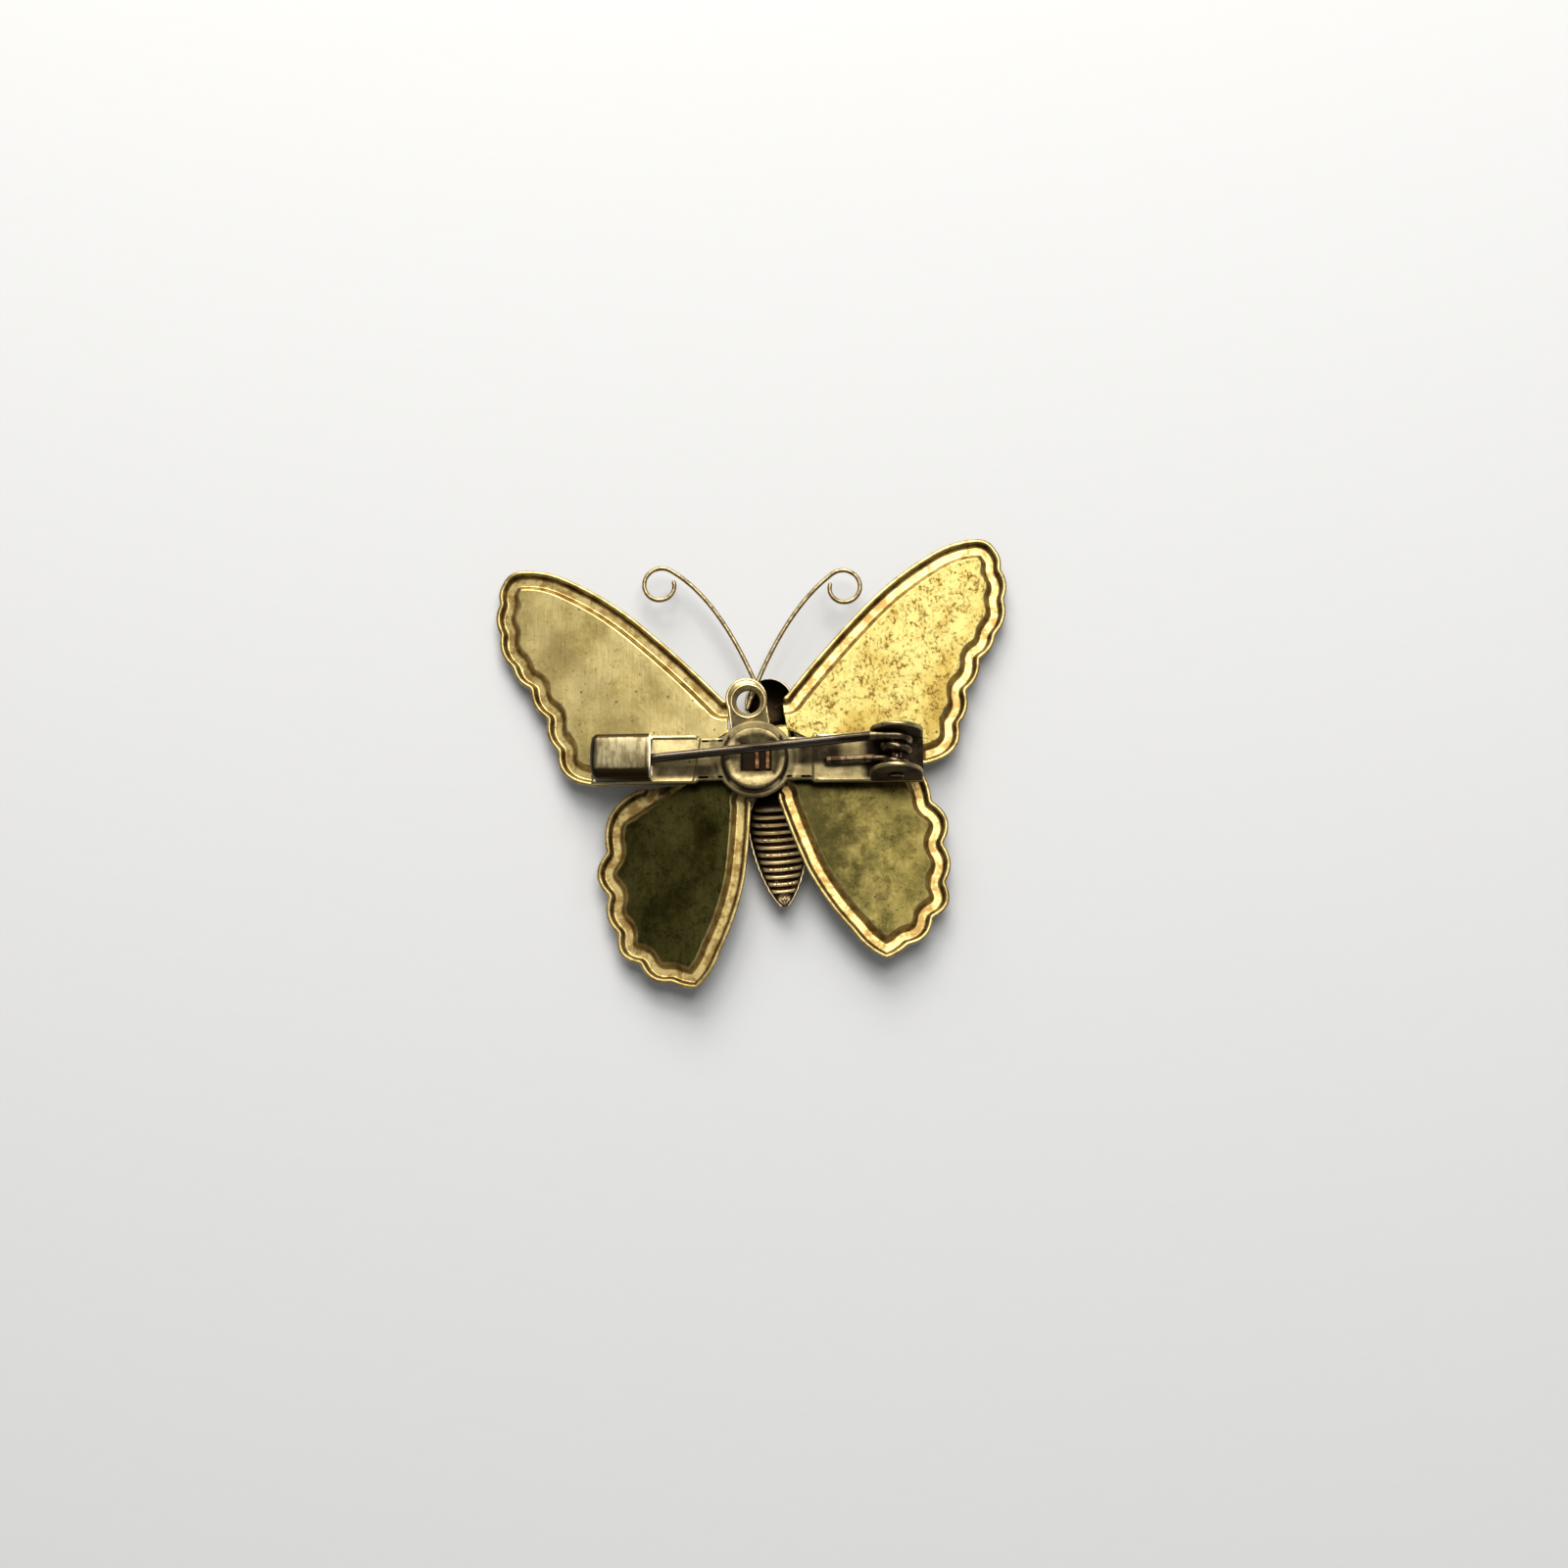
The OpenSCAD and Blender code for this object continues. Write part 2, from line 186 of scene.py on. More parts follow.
# ---- Wing pans --------------------------------------------------------------------------------
# Four pans pressed from thin brass sheet. A narrow lip runs round each, then a groove, and the flat
# back of the tray stands level with the lip. Each wing slopes towards the front from its root.
SHEET = 0.3
LIP = 0.3
GROOVE_DEPTH = 0.65
WING_SLOPE = 5.5
ROOT_X = 2.0
FOREWING = [[2.7, 6.1, 0.15], [10.5, 14.5, 0.35], [18.2, 20.3, 0.3], [22.8, 21.6, 0.35],
            [24.7, 20.4, 0.25], [25, 18.4, 0.45], [25.1, 15.3, 0.55], [24, 11.7, 0.4],
            [22.3, 9.4, 0.5], [20.7, 6.2, 0.5], [19.8, 2.9, 0.65], [18.2, -0.4, 0.25],
            [14.6, -1, 0.05], [11, -1.3, 0], [8, 0.6, 0], [2.9, 3.2, 0]]
HINDWING = [[2, -0.9, 0], [12.2, -0.6, 1.4], [16.1, -6.2, 1.05], [16.5, -10.5, 0.65],
            [16.1, -14.3, 0.95], [14.4, -17.6, 0.7], [11.6, -19.9, 0.15], [9.3, -20.9, 0.3],
            [6.5, -17.8, 0.25], [3.05, -11.2, 0.1], [1.3, -3.7, 0], [2, -2.6, 0]]


def smooth_step(x, low, high):
    """0 below low, 1 above high and 3t^2 - 2t^3 between them."""
    t = np.clip((x - low) / (high - low), 0, 1)
    return t * t * (3 - 2 * t)


def even_loop(points, count):
    """The closed loop through the points, cut again into count equal steps along its length."""
    closed = np.vstack([points, points[:1]])
    run = np.concatenate([[0], np.cumsum(np.linalg.norm(np.diff(closed, axis=0), axis=1))])
    at = np.linspace(0, run[-1], count, endpoint=False)
    return np.stack([np.interp(at, run, closed[:, k]) for k in range(2)], 1)


def soften(points, reach):
    """Each point of a closed loop moved to the bell-weighted mean of its neighbours within 3 reaches."""
    shifts = np.arange(-int(3 * reach) - 1, int(3 * reach) + 2)
    weight = np.exp(-0.5 * (shifts / reach) ** 2)
    return sum(w * np.roll(points, s, 0) for w, s in zip(weight / weight.sum(), shifts))


def wing_edge(rows, count):
    """Outline of a wing: between two corners the edge bows out by h, as 4h t(1 - t); then the corners
    are eased."""
    pieces = []
    for (ax, ay, h), (bx, by, _) in zip(rows, rows[1:] + rows[:1]):
        t = np.linspace(0, 1, 24, endpoint=False)
        along = np.array([bx - ax, by - ay])
        out = np.array([-along[1], along[0]]) / np.linalg.norm(along)
        pieces.append(np.array([ax, ay]) + t[:, None] * along + (4 * h * t * (1 - t))[:, None] * out)
    return soften(even_loop(np.vstack(pieces), count), 1.2)


def inset_loops(edge, centre, step, count):
    """The edge and count loops inside it. Each point moves in on its ray to the centre, by step / cos of the
    angle between the ray and the edge's normal, so that the loops lie a step apart."""
    ray = centre - edge
    reach = np.linalg.norm(ray, axis=1)[:, None]
    way = np.roll(edge, -1, 0) - np.roll(edge, 1, 0)
    turned = np.abs(way[:, [0]] * ray[:, [1]] - way[:, [1]] * ray[:, [0]])
    cos = soften(np.maximum(turned / reach / np.linalg.norm(way, axis=1)[:, None], 0.3), 4)
    return np.array([edge + np.minimum(k * step / cos / reach, 0.9) * ray for k in range(count + 1)])


def edge_distance(points, edge, held):
    """Distance from each point to the nearest of the straight pieces of a closed edge whose start is
    held."""
    a, b = edge[held], np.roll(edge, -1, 0)[held]
    d = b - a
    best = []
    for part in np.array_split(points, 24):
        t = np.clip(((part[:, None] - a) * d).sum(2) / (d * d).sum(1), 0, 1)
        best.append(np.linalg.norm(part[:, None] - a - t[:, :, None] * d, axis=2).min(1))
    return np.concatenate(best)


def place_wing(points, side, turn, at, z):
    """A wing's own points, in mm, turned down about its root, mirrored for the left and set on the hub."""
    slope, spin = np.radians(WING_SLOPE), np.radians(turn)
    x, y, h = points[..., 0] - ROOT_X, points[..., 1], points[..., 2]
    x, h = x * np.cos(slope) + h * np.sin(slope) + ROOT_X, h * np.cos(slope) - x * np.sin(slope)
    x = side * x
    return np.stack([x * np.cos(spin) - y * np.sin(spin) + at[0],
                     x * np.sin(spin) + y * np.cos(spin) + at[1], h + z], -1)


def grid_faces(rows, cols, wrap, flip=False):
    """Four-sided faces over a grid of rows by cols points; wrap joins the last column to the first."""
    i, j = np.meshgrid(np.arange(rows - 1), np.arange(cols if wrap else cols - 1), indexing="ij")
    k = (j + 1) % cols
    faces = np.stack([i * cols + j, i * cols + k, (i + 1) * cols + k, (i + 1) * cols + j], -1).reshape(-1, 4)
    return faces[:, ::-1] if flip else faces


def make_piece(name, patches, finish, body, nodes, carried=None, hard=None):
    """A piece from patches, each a grid of points in mm from the hub and how its faces run.
    A patch is (points, wrap, flip, caps); caps closes its last row or both its end rows."""
    points, faces = [], []
    count = 0
    for grid, wrap, flip, caps in patches:
        rows, cols = grid.shape[:2]
        faces += (grid_faces(rows, cols, wrap, flip) + count).tolist()
        if caps:
            last = list(range(count + (rows - 1) * cols, count + rows * cols))
            faces.append(last[::-1] if flip else last)
        if caps == "both":
            first = list(range(count, count + cols))
            faces.append(first if flip else first[::-1])
        points.append(grid.reshape(-1, 3))
        count += rows * cols
    mesh = bpy.data.meshes.new(name)
    mesh.from_pydata((HUB + np.vstack(points) * MM).tolist(), [], faces)
    mesh.validate()
    for key, value in (carried or {}).items():
        carried_values = mesh.attributes.new(key, "FLOAT", "POINT").data
        carried_values.foreach_set("value", value.astype(np.float32).ravel())
    mesh.materials.append(finish)
    mesh.shade_smooth()
    if hard:
        mesh.set_sharp_from_angle(angle=np.radians(hard))
    piece = bpy.data.objects.new(name, mesh)
    bpy.context.collection.objects.link(piece)
    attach(piece, body)
    if nodes:
        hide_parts(*nodes)
    return piece


def thicken(piece, thickness):
    """Gives a surface a wall below it."""
    wall = piece.modifiers.new("wall", "SOLIDIFY")
    wall.thickness = thickness * MM
    wall.offset = -1
    wall.use_even_offset = False
    return piece


def wing_height(points, distance, to_tray, border):
    """Depth of the pressed border: down from the lip into the groove and up again to the flat tray."""
    down = np.maximum(smooth_step(distance, LIP, 0.72) - smooth_step(to_tray, 1.42, 1.98), 0)
    rolled = 0.07 * (1 - smooth_step(distance, 0, 0.14))
    ripple = np.sin(points[..., 0] * 0.9 + 1) * np.cos(points[..., 1] * 0.7)
    wave = 0.015 * ripple * smooth_step(distance, 2.2, 4)
    return -GROOVE_DEPTH * down * border - rolled + wave


def fore_border(points):
    """1 where a forewing has its pressed border: above a bent line from the root, and all the outer end."""
    line = np.interp(points[..., 0], [2.6, 4.2, 9, 16], [4, 4, 2.2, 2.2])
    return np.maximum(smooth_step(points[..., 1] - line, -0.4, 0.4), smooth_step(points[..., 0], 15.6, 16.4))


def hind_border(points):
    """1 where a hindwing has its pressed border: below a bent line from the root, and all the outer end."""
    line = np.interp(points[..., 0], [0, 3.9, 6, 11], [-1.8, -1.8, -2.4, -2.4])
    return np.maximum(smooth_step(line - points[..., 1], -0.4, 0.4), smooth_step(points[..., 0], 11.4, 12.2))


def corner_cut(points):
    """Distance on the tray's side of the straight line from (8, -1.3) to (13.9, -3.9)."""
    along = np.array([5.9, -2.6]) / np.hypot(5.9, 2.6)
    return (points[..., 0] - 8) * along[1] - (points[..., 1] + 1.3) * along[0]


def wing_loops(rows, centre, count):
    """Loops from the edge to a point of the tray: 29 close ones over the border, then a fan that closes."""
    loops = inset_loops(wing_edge(rows, count), np.array(centre), 0.08, 29)
    shrink = np.linspace(1, 0.02, 37)[1:, None, None]
    fan = np.array(centre) + shrink * (loops[-1] - centre)
    return np.concatenate([loops, fan])


def make_wing(name, rows, centre, border, side, turn, at, z, finish, node, root_tab, cut=None):
    """One pan: the loops carry the height of the border, and the root's tab runs in under the hub."""
    loops = wing_loops(rows, centre, 560)
    flat = loops.reshape(-1, 2)
    open_root = loops[0][:, 0] < 2.95 if rows is FOREWING else loops[0][:, 1] > -3.7
    held = (border(loops[0]) > 0.5) & ~(open_root & (loops[0][:, 0] < 5))
    far = edge_distance(flat, loops[0], held).reshape(loops.shape[:2])
    if rows is HINDWING:
        onward = np.array([[1.3, -3.7], [0.75, -1.3]])
        far = np.minimum(far, edge_distance(flat, onward, np.array([True, False])).reshape(far.shape))
    to_tray = np.minimum(far, cut(loops) + 1.98) if cut else far
    mask = np.maximum(border(loops), smooth_step(-cut(loops), 0, 0.1)) if cut else border(loops)
    height = wing_height(loops, far, to_tray, mask)
    rise = (wing_height(loops, far + 0.03, to_tray + 0.03, mask)
            - wing_height(loops, far - 0.03, to_tray - 0.03, mask))
    # Mask of painted shade: the steep walls of the pressed border, weaker on the tray's inner wall, and on
    # the left hindwing also the groove floor in its cut corner.
    wall_shade_mask = np.clip(np.abs(rise) / 0.13, 0, 1) * (1 - 0.75 * smooth_step(far, 1.1, 1.4))
    if cut:
        wall_shade_mask = np.maximum(wall_shade_mask, 0.9 * smooth_step(-cut(loops), 0.45, 0.8) * smooth_step(far, 1.5, 1.9))
    grid = place_wing(np.dstack([loops, height]), side, turn, at, z)
    tab_x, tab_y = np.meshgrid(np.linspace(root_tab[0], root_tab[1], 5),
                               np.linspace(root_tab[2], root_tab[3], 9),
                               indexing="ij")
    tab = place_wing(np.dstack([tab_x, tab_y, 0 * tab_x - 0.02]), side, turn, at, z)
    tray = 1 - mask * (1 - smooth_step(to_tray, 1.86, 2.06))
    wall_shade_mask, depth, tray, out = (np.concatenate([v.ravel(), np.full(tab_x.size, last)])
                               for v, last in ((wall_shade_mask, 0), (-height / GROOVE_DEPTH * mask, 0), (tray, 1),
                                               (loops[..., 0], 2)))
    piece = make_piece(name, [(grid, True, side > 0, "last"), (tab, False, side > 0, None)], finish,
                       "brooch", [node],
                       {"wall_shade_mask": wall_shade_mask, "groove": depth, "tray": tray, "out": out})
    return thicken(piece, SHEET)


def brushed_pan(name, pale, mid, brown, patch_at, speck, speck_at, rough, cloudy, root_dark=0.0):
    """Aged brass sheet: in the tray fine scratches along the wing's length, brown clouds, dark specks
    and pits; round it a yellow border with copper stains in the groove, and painted shade on its walls."""
    material, place = new_finish(name)
    scratch = place.noise((1, 0.06, 1), 4.5, 4, 0.75)
    patch = place.noise((1, 0.7, 1), 0.17, 6, 0.62)
    mottle = place.noise((1, 1, 1), 0.8, 6, 0.72)
    grain = place.noise((1, 1, 1), 2.6, 4, 0.65)
    flecks = place.noise((1, 0.8, 1), 3.4, 4, 0.6)
    wall_shade_mask, groove, tray = place.attribute("wall_shade_mask"), place.attribute("groove"), place.attribute("tray")
    colour = patch.step(*patch_at).over(pale, mid)
    colour = (mottle.step(0.48, 0.62) * 0.6).over(colour, mid)
    colour = (scratch.step(0.45, 0.68) * 0.4).over(colour, mid)
    colour = (grain.step(0.52, 0.68) * 0.4).over(colour, pale)
    near_root = ((9 - place.attribute("out")) * 0.08 + mottle + 0.6 * patch).step(0.55, 1.25) * root_dark
    colour = near_root.over(colour, brown)
    clouds = (patch + 0.5 * mottle).step(patch_at[1] + 0.16, patch_at[1] + 0.42) * cloudy
    colour = clouds.over(colour, brown)
    colour = (flecks.step(*speck_at) * mottle.step(0.4, 0.56) * speck).over(colour, brown)
    colour = (place.pits(0.75, 0.13) * grain.step(0.42, 0.55) * 0.85).over(colour, (0.04, 0.026, 0.008))
    border = mottle.step(0.42, 0.62).over((0.72, 0.55, 0.22), (0.4, 0.27, 0.085))
    border = (groove.step(0.5, 0.95) * mottle.step(0.45, 0.6) * 0.5).over(border, (0.3, 0.16, 0.045))
    colour = tray.over(border, colour)
    # Painted shade: the masked walls and corner are painted dark brown and made duller, for the shadow and
    # dark reflection they show.
    painted_wall_shade = (wall_shade_mask * (0.4 + 1.0 * mottle)).clipped()
    colour = painted_wall_shade.over(colour, (0.022, 0.012, 0.004))
    roughness = rough + 0.12 * mottle + 0.1 * painted_wall_shade - 0.08 * scratch
    return close_finish(material, place, colour, 1 - 0.3 * painted_wall_shade, roughness, scratch * 0.5 + grain * 0.5,
                        0.016)


# The pans' base tones differ as painted light and shade, for how each pan caught the light: the hindwings
# are painted darker than the forewings, the left one nearly black.
forewing_left_brass = brushed_pan(
    "forewing_left_brass", (0.72, 0.57, 0.24), (0.5, 0.38, 0.135), (0.14, 0.09, 0.025), (0.42, 0.6), 0.5,
    (0.56, 0.68), 0.3,
    0.35)
forewing_right_brass = brushed_pan(
    "forewing_right_brass", (0.4, 0.345, 0.12), (0.31, 0.22, 0.05), (0.12, 0.065, 0.012), (0.44, 0.62),
    1.0, (0.48, 0.6), 0.34,
    0.6)
hindwing_left_shaded_brass = brushed_pan(
    "hindwing_left_shaded_brass", (0.055, 0.048, 0.013), (0.018, 0.015, 0.003), (0.008, 0.006, 0.0015),
    (0.4, 0.6), 0.6, (0.5, 0.66),
    0.42, 0.8)
hindwing_right_brass = brushed_pan(
    "hindwing_right_brass", (0.28, 0.22, 0.07), (0.14, 0.11, 0.03), (0.028, 0.024, 0.007), (0.4, 0.6), 0.6,
    (0.52, 0.68),
    0.34, 0.6, 0.85)
# How each wing sits on the hub: its turn in degrees, its shift in x and y, and its height in mm.
FORE_TURN, FORE_AT, FORE_Z = 3.3, (0.3, -0.2), 0
HIND_TURN, HIND_AT, HIND_Z = 8.6, (0.3, -0.1), -0.4
FORE_TAB = (1.8, 3.3, -1.5, 3.6)
HIND_TAB = (1.4, 2.4, -2.6, -0.9)
fore_centre, hind_centre = (16.5, 9.5), (8.6, -9.5)
for side, word, fore_finish, hind_finish in ((-1, "left", forewing_left_brass, hindwing_left_shaded_brass),
                                             (1, "right", forewing_right_brass, hindwing_right_brass)):
    make_wing("pan_forewing_" + word, FOREWING, fore_centre, fore_border, side, FORE_TURN, FORE_AT, FORE_Z,
              fore_finish, "forewing_" + word, FORE_TAB)
    make_wing("pan_hindwing_" + word, HINDWING, hind_centre, hind_border, side, HIND_TURN, HIND_AT, HIND_Z,
              hind_finish, "hindwing_" + word, HIND_TAB, corner_cut if side < 0 else None)


# ---- Enamel in the wing trays -----------------------------------------------------------------
# The front of each tray is filled with enamel, laid in wet and fired, so that it stands a little
# domed inside the pressed border. Fine dark veins run out from the root to a pale spotted rim.
def enamel_finish(name, deep, pale, root):
    """Glassy enamel: deep colour at the root, paler outwards, with veins that fan from the root."""
    material, place = new_finish(name)
    run = place.attribute("run")
    vein = place.attribute("vein")
    cloud = place.noise((1, 1, 1), 0.35, 4, 0.5)
    colour = (run.step(0.5, 6.5) + 0.25 * cloud - 0.12).clipped().over(pale, deep)
    colour = (1 - vein.step(0.03, 0.1)).over(colour, (0.012, 0.02, 0.03))
    colour = (place.pits(0.55, 0.3) * (1 - run.step(1.2, 1.6))).over(colour, root)
    return close_finish(material, place, colour, 0.0, 0.12 + 0.1 * cloud, cloud, 0.03, 0.8, 0.05)


def make_enamel(name, rows, centre, room, side, turn, at, z, finish, node, root):
    """One inlay. Its edge is the last point on each ray from the centre where there is room for it; its
    back lies flat on the tray, and its front rises from the edge as a quarter round."""
    outline = wing_edge(rows, 240)
    middle = np.array(centre)
    rays = middle + np.linspace(0, 1, 140)[:, None, None] * (outline - middle)
    every = np.full(len(outline), True)
    inside = edge_distance(rays.reshape(-1, 2), outline, every).reshape(rays.shape[:2]) - 2.1
    last = np.argmax(np.minimum(inside, room(rays)) < 0, axis=0) - 1
    edge = soften(rays[last, np.arange(len(outline))], 1.2)
    scale = np.concatenate([np.linspace(0.004, 1, 10), [1], np.linspace(1, 0.985, 3)[1:],
                            np.linspace(0.965, 0.004, 22)])
    crown = 0.86 + 0.12 * np.sqrt(1 - np.linspace(0.97, 0.02, 22) ** 4)
    fill = np.concatenate([np.zeros(10), [0.25, 0.5, 0.72], crown])
    grid = middle + scale[:, None, None] * (edge - middle)
    height = np.broadcast_to(-SHEET - 0.01 - 0.43 * fill[:, None], grid.shape[:2])
    run = np.broadcast_to((1 - scale)[:, None] * np.linalg.norm(edge - middle, axis=1), grid.shape[:2])
    spread = np.degrees(np.arctan2(grid[..., 1] - root[1], grid[..., 0] - root[0]))
    vein = np.abs((spread / 11 + 0.25 * np.sin(0.35 * grid[..., 0])) % 1 - 0.5) * 2
    placed = place_wing(np.dstack([grid, height]), side, turn, at, z)
    return make_piece(name, [(placed, True, side < 0, "both")], finish, "brooch", [node],
                      {"run": run, "vein": vein})


def fore_room(points):
    """How far inside the bordered part of a forewing a point lies."""
    line = np.interp(points[..., 0], [2.6, 4.2, 9, 16], [4, 4, 2.2, 2.2])
    return np.maximum(points[..., 1] - line - 0.3, points[..., 0] - 16.4)


def hind_room(points):
    """How far inside the bordered part of a hindwing a point lies."""
    line = np.interp(points[..., 0], [0, 3.9, 6, 11], [-2.6, -2.6, -2.4, -2.4])
    return np.maximum(line - points[..., 1] - 0.3, points[..., 0] - 12.2)


def cut_room(points):
    """The same on the left hindwing, whose tray has a corner cut off."""
    return np.minimum(hind_room(points), corner_cut(points) - 0.15)


fore_enamel = enamel_finish("fore_enamel", (0.01, 0.1, 0.25), (0.05, 0.38, 0.5), (0.75, 0.8, 0.72))
hind_enamel = enamel_finish("hind_enamel", (0.01, 0.13, 0.2), (0.08, 0.45, 0.42), (0.8, 0.82, 0.7))
for side, word in ((-1, "left"), (1, "right")):
    make_enamel("inlay_forewing_" + word, FOREWING, fore_centre, fore_room, side, FORE_TURN, FORE_AT, FORE_Z,
                fore_enamel, "enamel_forewing_" + word, (0, 2))
    make_enamel("inlay_hindwing_" + word, HINDWING, hind_centre, cut_room if side < 0 else hind_room, side,
                HIND_TURN, HIND_AT, HIND_Z,
                hind_enamel, "enamel_hindwing_" + word, (0, -1))


# ---- Body -------------------------------------------------------------------------------------
# The body is stamped hollow from the same sheet, with its open side to the back: a round head, a
# waisted middle and an abdomen with rings pressed into it, plain ones and beaded ones in turn.
RIM_Z = -1.75
HEAD = (1.25, 6.2)
HEAD_R = 2.4
BODY_TURN = 4.3
BODY_LENGTH = 20.6
RING_PITCH = 0.76


def body_half(s):
    """Half width of the body at s down from the head's centre: a circle, a low swell, then a long taper."""
    head = np.sqrt(np.maximum(0.01, HEAD_R ** 2 - np.minimum(s, 1.7) ** 2))
    down = np.clip((s - 1.7) / 7.7, 0, 1)
    middle = 1.69 + 0.41 * down + 0.85 * np.sin(np.pi * down)
    flank = 2.1 + 1.0 * np.sin((s - 9.4) / 2.6 * np.pi / 2)
    tail = 3.1 * (1 - (np.clip((s - 12) / (BODY_LENGTH - 12), 0, 0.999)) ** 1.6) ** 0.65
    return np.select([s < 1.7, s < 9.4, s < 12], [head, middle, flank], tail)


def ring_wave(s):
    """The pressed rings, one wave for each ring pitch, fading in and out at the ends of the abdomen."""
    fade = smooth_step(s, 10.2, 10.9) * (1 - smooth_step(s, 18.9, 19.5))
    return np.cos(2 * np.pi * (s - 10.4) / RING_PITCH) * fade


body_s = np.concatenate([-2.37 + 0.77 * np.linspace(0, 1, 14) ** 2, np.linspace(-1.6, 10, 60)[1:],
                         np.linspace(10, 19.6, 360)[1:], np.linspace(19.6, 20.34, 16)[1:]])[:, None]
body_a = np.linspace(0, np.pi, 49)
half = body_half(body_s)
deep = 0.68 * half
outer = np.dstack([(half + 0.05 * ring_wave(body_s)) * np.cos(body_a), -body_s + 0 * body_a,
                   -(deep + 0.05 * ring_wave(body_s)) * np.sin(body_a)])
inner_a = body_a[::-1]
in_half, in_deep = np.maximum(0.04, half - 0.26), np.maximum(0.03, deep - 0.28)
beads = 0.5 * (1 + np.cos(np.pi * (body_s - 10.4) / RING_PITCH)) * np.sin(inner_a * 22)
beads = beads * smooth_step(np.sin(inner_a), 0.5, 0.9)
relief = ring_wave(body_s) * (0.17 + 0.05 * beads) * smooth_step(np.sin(inner_a), 0.25, 0.65)
bead_at = (body_s - 19.55) ** 2 / 0.09 + (in_half * np.cos(inner_a)) ** 2 / 0.16
lump = 0.3 * np.exp(-bead_at) * (1 + 0.4 * np.sin(9 * body_s) * np.cos(14 * inner_a))
inner = np.dstack([in_half * np.cos(inner_a), -body_s + 0 * inner_a,
                   -(in_deep - relief - lump) * np.sin(inner_a)])
rim_left, rim_right = ((outer[:, [a]] + inner[:, [b]]) / 2 + np.array([0, 0, 0.05])
                       for a, b in ((-1, 0), (0, -1)))
body_grid = np.concatenate([outer, rim_left, inner, rim_right], 1)
spin = np.radians(BODY_TURN)
body_grid = np.stack([body_grid[..., 0] * np.cos(spin) - body_grid[..., 1] * np.sin(spin) + HEAD[0],
                      body_grid[..., 0] * np.sin(spin) + body_grid[..., 1] * np.cos(spin) + HEAD[1],
                      body_grid[..., 2] + RIM_Z], -1)
outside = np.concatenate([0 * outer[..., 0], 0.6 + 0 * rim_left[..., 0], -1 + 0 * inner[..., 0],
                          0.6 + 0 * rim_right[..., 0]], 1)
# Painted highlight mask: the ring crests inside the abdomen, brightest across the middle of each ring, and
# the lump of metal near its end.
lit = (smooth_step(ring_wave(body_s), -0.35, 0.4) * smooth_step(body_s, 10, 10.6)
       * (1 - smooth_step(body_s, 18.9, 19.4)))
crest_highlight = np.concatenate([0 * outer[..., 0], 0 * rim_left[..., 0],
                        lit * smooth_step(np.sin(inner_a), 0.2, 0.7) + lump * 2.5,
                        0 * rim_right[..., 0]], 1)

body_brass, place = new_finish("body_brass")
inside = (0 - place.attribute("outside")).clipped()
rim = place.attribute("outside").step(0.2, 0.6)
painted_crest_light = place.attribute("crest_highlight")
tarnish = place.noise((1, 1, 1), 0.8, 5, 0.65)
colour = tarnish.step(0.4, 0.65).over((0.5, 0.37, 0.16), (0.2, 0.13, 0.05))
# Painted shade: the inside of the hollow body is painted nearly black, and painted highlights in pale brass
# lie on the crests.
colour = inside.over(colour, (0.016, 0.01, 0.005))
colour = (inside * painted_crest_light).clipped().over(colour, (0.95, 0.74, 0.42))
colour = (inside * tarnish.step(0.58, 0.7) * 0.4).over(colour, (0.3, 0.12, 0.03))
colour = rim.over(colour, (0.85, 0.72, 0.5))
close_finish(body_brass, place, colour, 1.0, 0.28 + 0.25 * tarnish, tarnish, 0.02)
make_piece("hollow_body", [(body_grid, True, True, "both")], body_brass, "brooch", ["body_shell"],
           {"outside": outside, "crest_highlight": crest_highlight})


# ---- Saddle and clinched legs -----------------------------------------------------------------
# A block soldered across the open body carries two flat copper-coloured legs. They pass up through
# the wings, loop, plate and washer, and are clinched over in the washer's window.
saddle_finish, place = new_finish("saddle_copper")
tarnish = place.noise((1, 1, 0.3), 1.6, 5, 0.65)
colour = tarnish.step(0.38, 0.6).over((0.42, 0.2, 0.085), (0.12, 0.055, 0.022))
close_finish(saddle_finish, place, colour, 1.0, 0.34 + 0.2 * tarnish, tarnish, 0.03)


def eased_copy(name, node, width, finish):
    """A copy of a CAD node with its loose triangles joined and its edges eased by a small bevel."""
    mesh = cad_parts[node].data.copy()
    mesh.name = name
    piece = bpy.data.objects.new(name, mesh)
    bpy.context.collection.objects.link(piece)
    weld = piece.modifiers.new("weld", "WELD")
    weld.merge_threshold = 0.005 * MM
    ease = piece.modifiers.new("ease", "BEVEL")
    ease.width = width * MM
    ease.segments = 3
    ease.limit_method = "ANGLE"
    ease.angle_limit = np.radians(35)
    mesh.materials.clear()
    mesh.materials.append(finish)
    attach(piece, "brooch")
    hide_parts(node)
    return piece


eased_copy("saddle_and_legs", "body_saddle", 0.07, saddle_finish)


# ---- Antennae ---------------------------------------------------------------------------------
# Two lengths of drawn brass wire, laid into the head side by side with the right one on top. Each is
# bent out in one sweep and its end is wound into an open curl. A bead of solder joins them.
WIRE_Z = -1.52
ANTENNA_R = 0.225
CURL_R = 1.8


def sweep(path, radius, up, sides):
    """A round wire: a ring of the local radius stands square to the path at each point, measured from up."""
    way = np.gradient(path, axis=0)
    way = way / np.linalg.norm(way, axis=1)[:, None]
    across = np.cross(np.asarray(up, float), way)
    across = across / np.linalg.norm(across, axis=1)[:, None]
    over = np.cross(way, across)
    a = np.linspace(0, 2 * np.pi, sides, endpoint=False)
    return path[:, None] + np.broadcast_to(radius, len(path))[:, None, None] * (
        np.cos(a)[:, None] * across[:, None] + np.sin(a)[:, None] * over[:, None])


